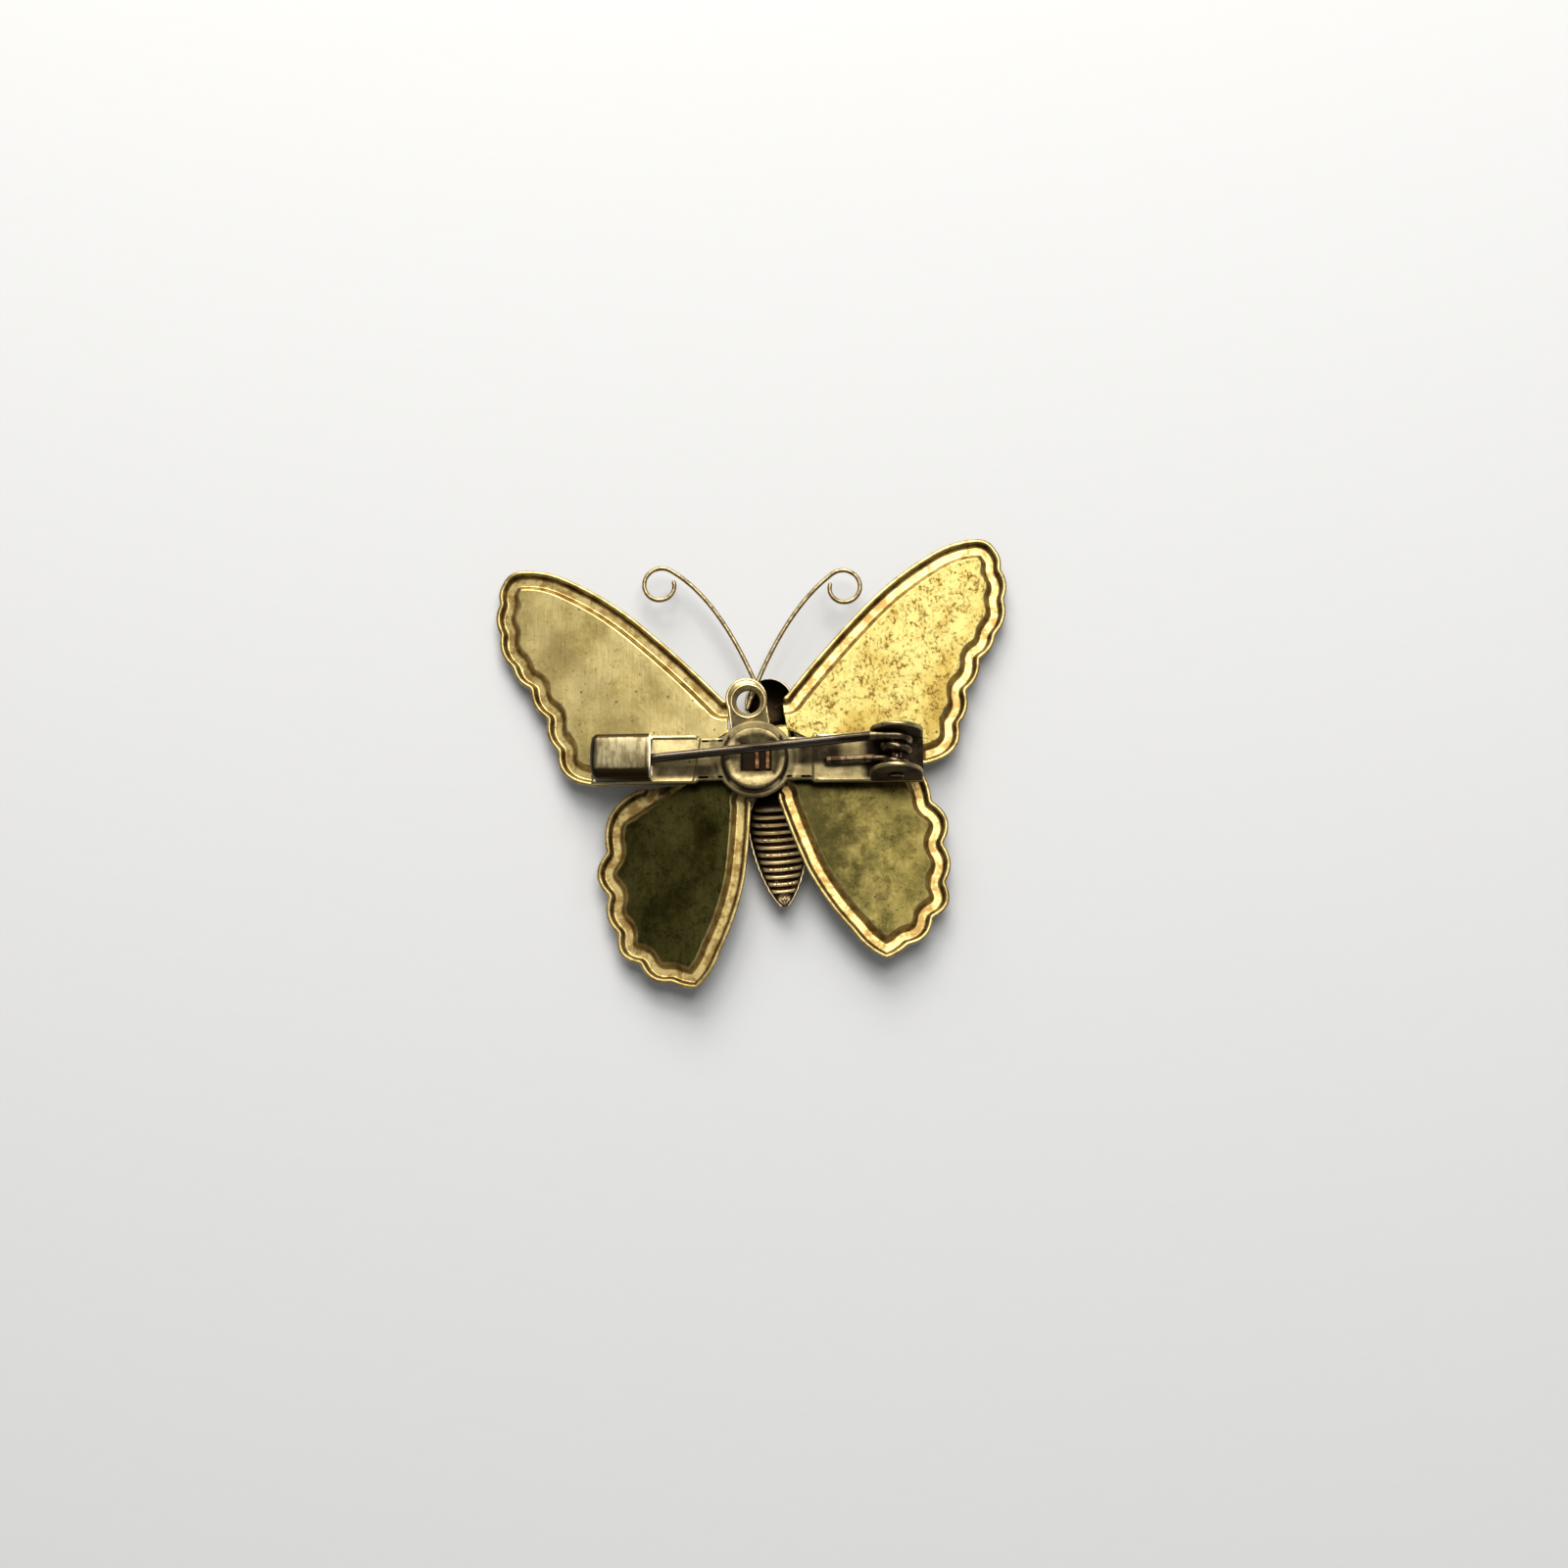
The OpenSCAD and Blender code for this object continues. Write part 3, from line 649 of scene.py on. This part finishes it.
def round_ends(path, radius):
    """The path and its radii with a half ball at each end: 7 more points whose radius falls as a
    circle's."""
    k = np.linspace(0, 0.9995, 8)[1:]
    first, last = path[0] - path[1], path[-1] - path[-2]
    first, last = first / np.linalg.norm(first), last / np.linalg.norm(last)
    ball = radius * np.sqrt(1 - k ** 2)
    return (np.vstack([(path[0] + radius * k[:, None] * first)[::-1], path,
                       path[-1] + radius * k[:, None] * last]),
            np.concatenate([ball[::-1], np.full(len(path), radius), ball]))


def antenna_path(foot, knee, centre, side, z):
    """One bend from foot to the top of the curl, bent towards knee, then a curl whose radius shrinks
    evenly."""
    first = np.radians(58)
    top = np.array(centre) + CURL_R * np.array([-side * np.cos(first), np.sin(first)])
    t = np.linspace(0, 1, 50, endpoint=False)[:, None]
    shaft = (1 - t) ** 2 * np.array(foot) + 2 * t * (1 - t) * np.array(knee) + t ** 2 * top
    a = first + np.radians(315) * np.linspace(0, 1, 90)
    r = CURL_R - 0.45 * np.linspace(0, 1, 90)
    curl = np.stack([centre[0] - side * r * np.cos(a), centre[1] + r * np.sin(a)], 1)
    path = np.vstack([shaft, curl])
    return np.column_stack([path, np.full(len(path), z)])


antenna_brass, place = new_finish("antenna_brass")
draw_lines = place.noise((1, 1, 1), 2.2, 5, 0.7)
colour = draw_lines.step(0.4, 0.66).over((0.5, 0.38, 0.2), (0.2, 0.14, 0.06))
colour = (place.pits(1.1, 0.14) * 0.7).over(colour, (0.09, 0.06, 0.03))
close_finish(antenna_brass, place, colour, 1.0, 0.26 + 0.18 * draw_lines, draw_lines, 0.02)
for word, side, lift, foot, knee, centre in (("left", -1, 0, (0.9, 5.6), (-3.25, 16.6), (-9.55, 18.2)),
                                             ("right", 1, 0.48, (-0.9, 5.4), (2.6, 15.4), (8.6, 17.6))):
    path, radius = round_ends(antenna_path(foot, knee, centre, side, WIRE_Z + lift), ANTENNA_R)
    make_piece("antenna_wire_" + word, [(sweep(path, radius, (0, 0, 1), 20), True, False, "both")],
               antenna_brass, "brooch",
               ["antenna_" + word])

ball_v = np.linspace(-np.pi / 2 + 0.02, np.pi / 2 - 0.02, 28)[:, None]
ball_a = np.linspace(0, 2 * np.pi, 40, endpoint=False)
swell = 0.46 + 0.03 * np.sin(3 * ball_a + 1) * np.cos(ball_v) ** 2
solder_grid = np.dstack([swell * np.cos(ball_v) * np.cos(ball_a),
                         7.95 + swell * np.cos(ball_v) * np.sin(ball_a),
                         WIRE_Z + 0.47 * np.sin(ball_v) + 0 * ball_a])
solder_grey, place = new_finish("solder_grey")
crust = place.noise((1, 1, 1), 1.4, 5, 0.6)
colour = crust.step(0.4, 0.62).over((0.36, 0.3, 0.2), (0.1, 0.08, 0.05))
close_finish(solder_grey, place, colour, 1.0, 0.35 + 0.25 * crust, crust, 0.05)
make_piece("solder_bead", [(solder_grid, True, False, "both")], solder_grey, "brooch", ["antenna_solder"])


# ---- Pendant loop -----------------------------------------------------------------------------
# A plate under the pin plate whose tongue sticks out above the hub. A dish is pressed up round the
# hole in the tongue, so that the brooch can hang from a ring or a chain.
WINDOW_HALF = (1.45, 1.35)
WINDOW_AT = (0.15, 0.1)
EYELET = np.array([-0.7, 5.8])
TONGUE = np.array([-0.9, 6.15])


def plate_finish(name, pale, mid, brown, rough, cloud_scale):
    """Worn plate brass: bright where cloth has rubbed it, brown in clouds and fine marks along the plate."""
    material, place = new_finish(name)
    cloud = place.noise((1, 1, 1), cloud_scale, 6, 0.62)
    marks = place.noise((0.12, 1, 1), 7, 3, 0.65)
    grain = place.noise((1, 1, 1), 3.6, 4, 0.65)
    colour = cloud.step(0.38, 0.62).over(pale, mid)
    colour = (grain.step(0.52, 0.72) * 0.6).over(colour, brown)
    colour = (marks.step(0.5, 0.75) * 0.3).over(colour, brown)
    colour = (place.pits(0.8, 0.1) * 0.8).over(colour, (0.06, 0.035, 0.012))
    # Painted shade: the shade_and_dirt attribute paints the metal dark and dull where each piece marks
    # painted shade, and over a few darker patches.
    shade_and_dirt = (place.attribute("shade_and_dirt") * (0.5 + cloud)).clipped()
    colour = shade_and_dirt.over(colour, (0.03, 0.015, 0.005))
    roughness = rough + 0.16 * cloud + 0.45 * shade_and_dirt
    return close_finish(material, place, colour, 1 - 0.3 * shade_and_dirt, roughness, marks * 0.4 + grain * 0.6, 0.012)


loop_brass = plate_finish("loop_brass", (0.78, 0.62, 0.31), (0.56, 0.43, 0.19), (0.16, 0.1, 0.04), 0.22, 0.5)
tongue_a = np.linspace(0, 2 * np.pi, 120, endpoint=False)
ray = np.stack([np.cos(tongue_a), np.sin(tongue_a)], 1)
offset = EYELET - TONGUE
round_end = np.sqrt((ray @ offset) ** 2 - offset @ offset + 2.03 ** 2) - ray @ offset
to_hub = -TONGUE / np.linalg.norm(TONGUE)
sideways = np.array([-to_hub[1], to_hub[0]])
to_side = (1.93 - np.sign(ray @ sideways) * (offset @ sideways)) / np.maximum(np.abs(ray @ sideways), 0.02)
to_foot = (3.7 - offset @ to_hub) / np.maximum(ray @ to_hub, 0.02)
tongue_r = np.maximum(round_end, np.where(ray @ to_hub > 0, np.minimum(to_side, to_foot), 0))
# Each row: distance out from the hole's middle, or in from the tongue's edge where the last value is 1,
# and height.
dish = np.array([[1.16, 0, 0], [1.16, 0.1, 0], [1.17, 0.17, 0], [1.21, 0.22, 0], [1.3, 0.29, 0],
                 [1.42, 0.42, 0],
                 [1.53, 0.54, 0], [1.61, 0.6, 0], [1.68, 0.6, 0], [1.75, 0.53, 0], [1.82, 0.43, 0],
                 [-0.3, 0.4, 1], [-0.25, 0.36, 1], [-0.2, 0.395, 1], [-0.08, 0.39, 1], [-0.02, 0.35, 1],
                 [0, 0.28, 1],
                 [0, 0.08, 1], [-0.05, 0.02, 1], [-0.3, 0, 1], [1.2, 0, 0]])
ring_r = dish[:, 0, None] + dish[:, 2, None] * tongue_r
ring_r = np.where((dish[:, 2, None] > 0) & (ring_r < 1.84), 1.84, ring_r)
tongue_grid = np.dstack([EYELET[0] + ring_r * np.cos(tongue_a), EYELET[1] + ring_r * np.sin(tongue_a),
                         np.broadcast_to(dish[:, 1, None], ring_r.shape)])
# Painted shade down the eyelet's wall and the dish's inner slope, on the dish's outer slope, and in the
# groove 0.25 mm in from the tongue's edge.
tongue_shade_rows = np.array([1, 0.9, 0.6, 0.35, 0.1] + [0] * 5 + [0.25, 0, 0.85] + [0] * 8)
in_hole = np.broadcast_to(tongue_shade_rows[:, None], ring_r.shape)


def window_ring(outer_r, profile, count):
    """A flat ring between a square window and a circle: each profile row is how far out it lies, from 0 at
    the window to 1 at the circle, and its height."""
    a = np.linspace(0, 2 * np.pi, count, endpoint=False)
    reach = 1 / np.maximum(np.abs(np.cos(a)) / WINDOW_HALF[0], np.abs(np.sin(a)) / WINDOW_HALF[1])
    window = np.stack([WINDOW_AT[0] + reach * np.cos(a), WINDOW_AT[1] + reach * np.sin(a)], -1)
    circle = np.stack([outer_r * np.cos(a), outer_r * np.sin(a)], -1)
    w = np.array(profile)[:, 0, None, None]
    flat = window * (1 - w) + circle * w
    return np.dstack([flat, np.broadcast_to(np.array(profile)[:, 1, None], flat.shape[:2])])


base_rows = [(0, 0.01), (0, 0.39), (0.02, 0.4), (0.97, 0.4), (1, 0.36), (1, 0.05), (0.97, 0.01), (0, 0.01)]
base_grid = window_ring(3.58, base_rows, 96)
shade_and_dirt = np.concatenate([in_hole.ravel(), np.zeros(base_grid.shape[0] * base_grid.shape[1])])
make_piece("pendant_tongue", [(tongue_grid, True, True, None), (base_grid, True, True, None)], loop_brass,
           "brooch",
           ["pendant_loop"], {"shade_and_dirt": shade_and_dirt})


# ---- Pin plate --------------------------------------------------------------------------------
# One blanked strip carries the whole pin: a round hub, two necks and two wider arms. The edges of the
# arms are turned up a little, and at the right two round ears are bent up for the hinge.
PLATE_TOP = 1.0


def plate_half(x):
    """Half width of the strip: the hub's circle eased into the necks, and a step out to the arms."""
    hub = np.sqrt(np.maximum(3.8 ** 2 - x ** 2, 0))
    neck = 2.1
    eased = np.logaddexp(5 * hub, 5 * neck) / 5 - 0.139 * np.exp(-((np.abs(x) - 3.2) / 1.2) ** 2)
    body = np.where(np.abs(x) < 3.6, np.maximum(np.minimum(eased, np.maximum(hub, eased - 0.1)), hub), eased)
    arm = 0.3 * smooth_step(np.abs(x), 5.3, 5.9)
    return np.where(np.abs(x) < 3.75, np.maximum(body, 2.1),
                    2.1 + 0.05 * np.exp(-(np.abs(x) - 3.75) / 0.3)) + arm


station = np.unique(np.concatenate([
    [-15.9, -15.88, -15.83, -15.75], np.linspace(-15.6, -6.2, 48), np.linspace(-6, -5.1, 19),
    np.linspace(-5, -1.5, 50),
    [-1.34, -1.3, -1.26, -1.2], np.linspace(-1, 1.4, 13), [1.5, 1.56, 1.6, 1.64], np.linspace(1.8, 5, 46),
    np.linspace(5.1, 6, 19), np.linspace(6.2, 16, 50), [16.15, 16.23, 16.28, 16.3]]))[:, None]
column = np.concatenate([[-1.9, -1.6, -1.4, -1.29, -1.25, -1.21, -1.1], np.linspace(-0.9, 1.2, 14),
                         [1.41, 1.45, 1.49, 1.6, 1.9]])
rim_in = np.array([0.42, 0.32, 0.24, 0.16, 0.08, 0.03, 0])
rim_drop = np.array([0, 0, 0, 0.012, 0.04, 0.08, 0.16])
half = plate_half(station)
end_in = np.maximum(smooth_step(-station, 15.7, 15.9), smooth_step(station, 16.1, 16.3))
far_y = half - rim_in
across = np.concatenate([-far_y[:, ::-1], np.broadcast_to(column, (len(station), len(column))), far_y], 1)
drop = np.concatenate([rim_drop[::-1], 0 * column, rim_drop]) + 0 * across
slant = -5.62 + 0.16 * across
sunk = 0.12 * (smooth_step(station, slant - 0.12, slant + 0.12) - smooth_step(station, -4.5, -3.6)
               + smooth_step(station, 3.6, 4.5) - smooth_step(station, 5.5, 5.8))
on_arm = np.maximum(1 - smooth_step(station, -5.75, -5.55),
                    smooth_step(station, 5.9, 6.1) * (1 - smooth_step(station, 10.6, 10.9)))
lip = 0.09 * on_arm * smooth_step(np.abs(across), half - 0.42, half - 0.3)
window = smooth_step(station, -1.34, -1.26) * (1 - smooth_step(station, 1.56, 1.64)) * \
    smooth_step(across, -1.29, -1.21) * (1 - smooth_step(across, 1.41, 1.49))
top_z = PLATE_TOP - drop - sunk + lip - 0.5 * window - 0.12 * end_in
low_y = across[:, ::-1]
low_z = 0.4 + 0.35 * np.concatenate([rim_drop[::-1], 0 * column, rim_drop]) + 0 * low_y
plate_grid = np.stack([np.broadcast_to(station, (len(station), 2 * across.shape[1])),
                       np.concatenate([across, low_y], 1),
                       np.concatenate([top_z, low_z], 1)], -1)
from_hub = np.hypot(station, across)
# Painted shadow: a dark ring round the washer's edge, thicker and wider below it.
below = np.clip(-across / from_hub, 0, 1) ** 2
washer_shadow = np.exp(-((from_hub - 3.17 - 0.06 * below) / (0.12 + 0.13 * below)) ** 2)


def strip_patch(left, right, low, high):
    """1 inside a box of the strip, and fading out over its edges."""
    return (smooth_step(station, left, left + 1.4) * (1 - smooth_step(station, right - 1.4, right))
            * smooth_step(across, low, low + 0.6) * (1 - smooth_step(across, high - 0.6, high)))


# The first box is the pin's painted shadow along the lower half of the left arm, and the box from 10 to 17.7
# is painted shade under the coil between the ears; the others darken the necks and the right arm.
shade_and_stains = (0.7 * strip_patch(-10.5, -3, -2.1, -0.2) + 0.2 * strip_patch(-6.5, -3, -2.4, 2.4) + 0.7 * strip_patch(3, 9, -0.9, 2)
          + 0.3 * strip_patch(3.4, 13, -2.4, 2.4) + 0.9 * strip_patch(10, 17.7, -2.4, 2.4))
# Darker over the hub ring.
hub_darkening = 0.45 * (1 - smooth_step(from_hub, 3.8, 4.2))
# shade_and_dirt on the plate: painted shade in the window, round the washer and under the coil, the pin's
# painted shadow, and darker patches on the hub ring and necks.
shade_and_dirt = np.concatenate([np.clip(2 * window + washer_shadow + hub_darkening + shade_and_stains, 0, 2), 0 * low_y], 1)

EAR_X, EAR_HALF, EAR_T, AXIS_Z = 13.75, 2.55, 0.45, 2.75
EAR_HEIGHT = AXIS_Z - PLATE_TOP
ear_side = np.linspace(-0.3, EAR_HEIGHT, 12)[:-1]
arc = np.linspace(np.pi, 0, 41)
ear_x = np.concatenate([np.full(11, -EAR_HALF), EAR_HALF * np.cos(arc), np.full(11, EAR_HALF)])
ear_h = np.concatenate([ear_side, EAR_HEIGHT + EAR_HALF * np.sin(arc), ear_side[::-1]])
ear_outline = np.stack([ear_x, ear_h], 1)
ear_mid = np.array([0, 1.3])
ear_size = np.linalg.norm(ear_mid - ear_outline, axis=1)[:, None]
ear_in = (ear_mid - ear_outline) / ear_size
# Each row: distance in from the outline, depth through the sheet, and how much painted shade it carries
# there.
ear_profile = np.array([[2.4, 0.02, 1], [1.2, 0, 1], [0.3, 0, 1], [0.12, 0.01, 0.6], [0.04, 0.05, 0],
                        [0, 0.12, 0],
                        [0, 0.33, 0.1], [0.04, 0.4, 0.3], [0.12, 0.44, 0.9], [0.3, 0.45, 1], [1.2, 0.45, 1],
                        [2.4, 0.43, 1]])


def ear_grid(side, lean):
    """A round-topped plate with eased edges, from loops on both faces, that leans towards the antennae."""
    flat = np.array([ear_outline + ear_in * np.minimum(inset, ear_size * 0.97)
                     for inset in ear_profile[:, 0]])
    depth = ear_profile[:, 1, None] + 0 * flat[..., 0]
    y = side * (2.4 - EAR_T - 0.06 + np.cos(lean) * depth) + np.sin(lean) * flat[..., 1]
    z = PLATE_TOP + np.cos(lean) * flat[..., 1] - side * np.sin(lean) * depth
    return np.stack([EAR_X + flat[..., 0], y, z], -1)


plate_brass = plate_finish("pin_plate_brass", (0.52, 0.42, 0.2), (0.36, 0.28, 0.125), (0.16, 0.105, 0.04),
                           0.24, 0.35)
ears = [ear_grid(1, np.radians(4)), ear_grid(-1, np.radians(7))]
# Painted shade on both faces of the ears, their rims left bright.
ear_shade = np.concatenate([np.broadcast_to(ear_profile[:, 2, None] * 0.9, ears[0].shape[:2]).ravel()] * 2)
make_piece("plate_with_ears", [(plate_grid, True, True, "both"), (ears[0], True, False, "both"),
                               (ears[1], True, True, "both")],
           plate_brass, "brooch", ["pin_plate"],
           {"shade_and_dirt": np.concatenate([shade_and_dirt.ravel(), ear_shade])}, hard=50)


# ---- Hub washer -------------------------------------------------------------------------------
# A round washer with a square window, clinched on the hub by the two legs. Its face is dished
# round the window, and painted shade lies down the window's walls and along its outer edge.
washer_brass = plate_finish("washer_brass", (0.36, 0.28, 0.13), (0.15, 0.115, 0.052), (0.1, 0.06, 0.026),
                            0.28, 0.7)
washer_rows = [(0, 1.0), (0, 1.1), (0.02, 1.14), (0.08, 1.17), (0.2, 1.21), (0.34, 1.27), (0.46, 1.33),
               (0.56, 1.37),
               (0.66, 1.385), (0.8, 1.39), (0.9, 1.37), (0.95, 1.33), (0.98, 1.26), (1, 1.15), (1, 1.0)]
washer_grid = window_ring(3.08, washer_rows, 144)
washer_shade_rows = np.array([1, 1, 0.7, 0.3, 0.1, 0, 0, 0, 0, 0, 0, 0.1, 0.6, 1, 1])
washer_shade = np.broadcast_to(washer_shade_rows[:, None], washer_grid.shape[:2])
make_piece("hub_washer_ring", [(washer_grid, True, True, None)], washer_brass, "brooch", ["hub_washer"],
           {"shade_and_dirt": washer_shade})


# ---- Catch hood -------------------------------------------------------------------------------
# A pillow-shaped hood pressed from sheet and closed at its left end. The pin's point goes in by the
# slot along its upper side, and the mouth at the right has a thin bright lip.
HOOD_LEFT, HOOD_RIGHT, HOOD_MID_Z = -15.88, -9.92, 2.17
hood_x = np.concatenate([HOOD_LEFT + 0.95 * np.linspace(0, 1, 24) ** 1.6,
                         np.linspace(HOOD_LEFT + 0.95, HOOD_RIGHT - 0.25, 26)[1:],
                         np.linspace(HOOD_RIGHT - 0.25, HOOD_RIGHT, 6)[1:]])[:, None]
end_t = np.clip(1 - (hood_x - HOOD_LEFT) / 0.95, 0, 0.9999)
shrink = np.maximum((1 - end_t ** 2.6) ** (1 / 2.6), 0.004)
open_slot = smooth_step(hood_x, HOOD_LEFT + 0.75, HOOD_LEFT + 1.1)
first_a = np.radians(2 + 10 * open_slot)
last_a = np.radians(358 - 26 * open_slot)
hood_a = first_a + (last_a - first_a) * np.linspace(0, 1, 96)
WIDE, TALL, POWER = 2.27, 1.15, 0.56
sec_y = WIDE * np.sign(np.cos(hood_a)) * np.abs(np.cos(hood_a)) ** POWER
sec_z = TALL * np.sign(np.sin(hood_a)) * np.abs(np.sin(hood_a)) ** POWER
saddle_back = 0.06 * smooth_step(np.abs(hood_x + 12.6), 1.5, 3.5) * np.clip(np.sin(hood_a), 0, 1)
hood_grid = np.dstack([hood_x + 0 * hood_a, shrink * sec_y, HOOD_MID_Z + shrink * sec_z - saddle_back])
hood_edge = smooth_step(hood_x, HOOD_RIGHT - 0.22, HOOD_RIGHT - 0.08) + 0 * hood_a
band = np.exp(-((hood_x - HOOD_RIGHT + 0.42) / 0.14) ** 2)
hood_shade = np.max(np.broadcast_arrays(smooth_step(-hood_grid[..., 1], 0.9, 1.7),
                                        0.95 * smooth_step(hood_grid[..., 1], 1.5, 1.95),
                                        0.95 * smooth_step(end_t, 0.3, 0.7), 0.6 * band), axis=0)

hood_brass, place = new_finish("hood_brass")
cloud = place.noise((1, 0.5, 1), 0.7, 6, 0.68)
streak = place.noise((1, 0.1, 1), 3.2, 4, 0.6)
edge, shade = place.attribute("edge"), place.attribute("shade")
colour = cloud.step(0.4, 0.62).over((0.32, 0.27, 0.15), (0.14, 0.11, 0.055))
colour = (streak.step(0.45, 0.7) * 0.5).over(colour, (0.14, 0.1, 0.045))
colour = (shade + 0.9 * cloud - 0.45).step(0.2, 0.7).over(colour, (0.04, 0.024, 0.009))
colour = edge.over(colour, (0.85, 0.74, 0.52))
close_finish(hood_brass, place, colour, 1.0, 0.3 + 0.2 * cloud - 0.1 * edge, cloud * 0.6 + streak * 0.4,
             0.03)
hood = make_piece("hood_shell", [(hood_grid, False, False, None)], hood_brass, "brooch", ["catch_hood"],
                  {"edge": hood_edge, "shade": hood_shade})
thicken(hood, 0.3)


# ---- Hinge rivet ------------------------------------------------------------------------------
# A turned rivet passes through both ears and the spring. Its ends are peened to low round heads.
rivet_profile = np.array([(-2.54, 0.01), (-2.53, 0.3), (-2.48, 0.52), (-2.38, 0.68), (-2.29, 0.76),
                          (-2.26, 0.74),
                          (-2.25, 0.5), (-1, 0.49), (1, 0.49), (2.55, 0.5), (2.56, 0.74), (2.59, 0.76),
                          (2.68, 0.68),
                          (2.78, 0.52), (2.83, 0.3), (2.84, 0.01)])
turn_a = np.linspace(0, 2 * np.pi, 48, endpoint=False)
rivet_y, rivet_r = rivet_profile[:, [0]], rivet_profile[:, [1]]
rivet_grid = np.dstack([EAR_X + rivet_r * np.cos(turn_a), rivet_y + 0 * turn_a,
                        AXIS_Z + rivet_r * np.sin(turn_a)])


def wire_finish(name, pale, dark, rough, stretch):
    """Drawn wire gone dark: long pale rubs on a brown-black skin."""
    material, place = new_finish(name)
    rub = place.noise(stretch, 1.3, 5, 0.6)
    grain = place.noise((1, 1, 1), 5, 3, 0.6)
    colour = rub.step(0.42, 0.64).over(pale, dark)
    colour = (grain.step(0.58, 0.75) * 0.5).over(colour, (0.16, 0.06, 0.02))
    return close_finish(material, place, colour, 1.0, rough + 0.12 * rub, grain, 0.012)


spring_skin = wire_finish("spring_skin", (0.2, 0.145, 0.08), (0.05, 0.03, 0.015), 0.2, (1, 0.4, 1))
stem_skin = wire_finish("stem_skin", (0.11, 0.09, 0.065), (0.032, 0.025, 0.016), 0.15, (0.12, 1, 1))
make_piece("peened_rivet", [(rivet_grid, True, True, "both")], spring_skin, "brooch", ["hinge_rivet"])


# ---- Spring and pin ---------------------------------------------------------------------------
# One spring wire: a short tail pressed on the plate, turns wound round the rivet, and the long pin
# that runs to the hood, sharpened over its last 4 mm.
def coil_point(a):
    """A point on the spring, a degrees after its top: round the rivet to the right, and down the axis."""
    r = np.radians(a)
    return np.stack([EAR_X + 1.1 * np.sin(r), 1.5 - 1.1 * a / 360, AXIS_Z + 1.1 * np.cos(r)], -1)


lead_in = np.array([11.3, 1.5, 3.65]) + np.linspace(0, 1, 24)[:-1, None] * np.array([1.0, 0, 0.12])
blend_t = np.linspace(0, 1, 20)[:-1, None]
to_top = ((1 - blend_t) ** 2 * np.array([12.3, 1.5, 3.77]) + 2 * blend_t * (1 - blend_t)
          * np.array([13.1, 1.5, 3.86])
          + blend_t ** 2 * coil_point(np.array(0.0)))
coil_path = np.vstack([lead_in, to_top, coil_point(np.linspace(0, 427, 143))])
coil_path, coil_radius = round_ends(coil_path, 0.465)
make_piece("spring_turns", [(sweep(coil_path, coil_radius, (0, 1, 0), 24), True, False, "both")],
           spring_skin, "spring",
           ["spring_coil"])
tail_from, tail_to = coil_point(np.array(545.0)), np.array([7.1, -0.42, 1.5])
tail_t = np.linspace(0.07, 1, 56)[:, None]
tail_path = tail_from + tail_t * (tail_to - tail_from)
tail_path, tail_radius = round_ends(tail_path, 0.44)
end_turn, end_radius = round_ends(coil_point(np.linspace(590, 850, 100)) - np.array([0, 0.38, 0]), 0.44)
make_piece("spring_tail_wire", [(sweep(tail_path, tail_radius, (0, 1, 0), 24), True, False, "both"),
                                (sweep(end_turn, end_radius, (0, 1, 0), 24), True, False, "both")],
           spring_skin, "brooch", ["spring_tail"])

PIVOT, TIP = np.array([11.2, 1.5, 3.65]), np.array([-14.6, -0.45, 1.6])
STEM_R, POINT_LENGTH = 0.46, 4
stem_length = np.linalg.norm(TIP - PIVOT)
stem_run = np.concatenate([STEM_R * (1 - np.cos(np.linspace(0.03, np.pi / 2, 8))) - STEM_R,
                           np.linspace(0.3, stem_length - POINT_LENGTH, 60),
                           stem_length - POINT_LENGTH + np.linspace(0.15, POINT_LENGTH, 30)])
stem_r = np.where(stem_run < 0, np.sqrt(np.maximum(STEM_R ** 2 - stem_run ** 2, 1e-6)), STEM_R)
taper = np.clip((stem_length - stem_run) / POINT_LENGTH, 0, 1)
stem_r = stem_r * (0.12 + 0.88 * np.sin(np.pi / 2 * taper))
stem_path = PIVOT + stem_run[:, None] * (TIP - PIVOT) / stem_length
make_piece("sharpened_pin", [(sweep(stem_path, stem_r, (0, 0, 1), 28), True, False, "both")], stem_skin,
           "pin",
           ["pin_stem"])
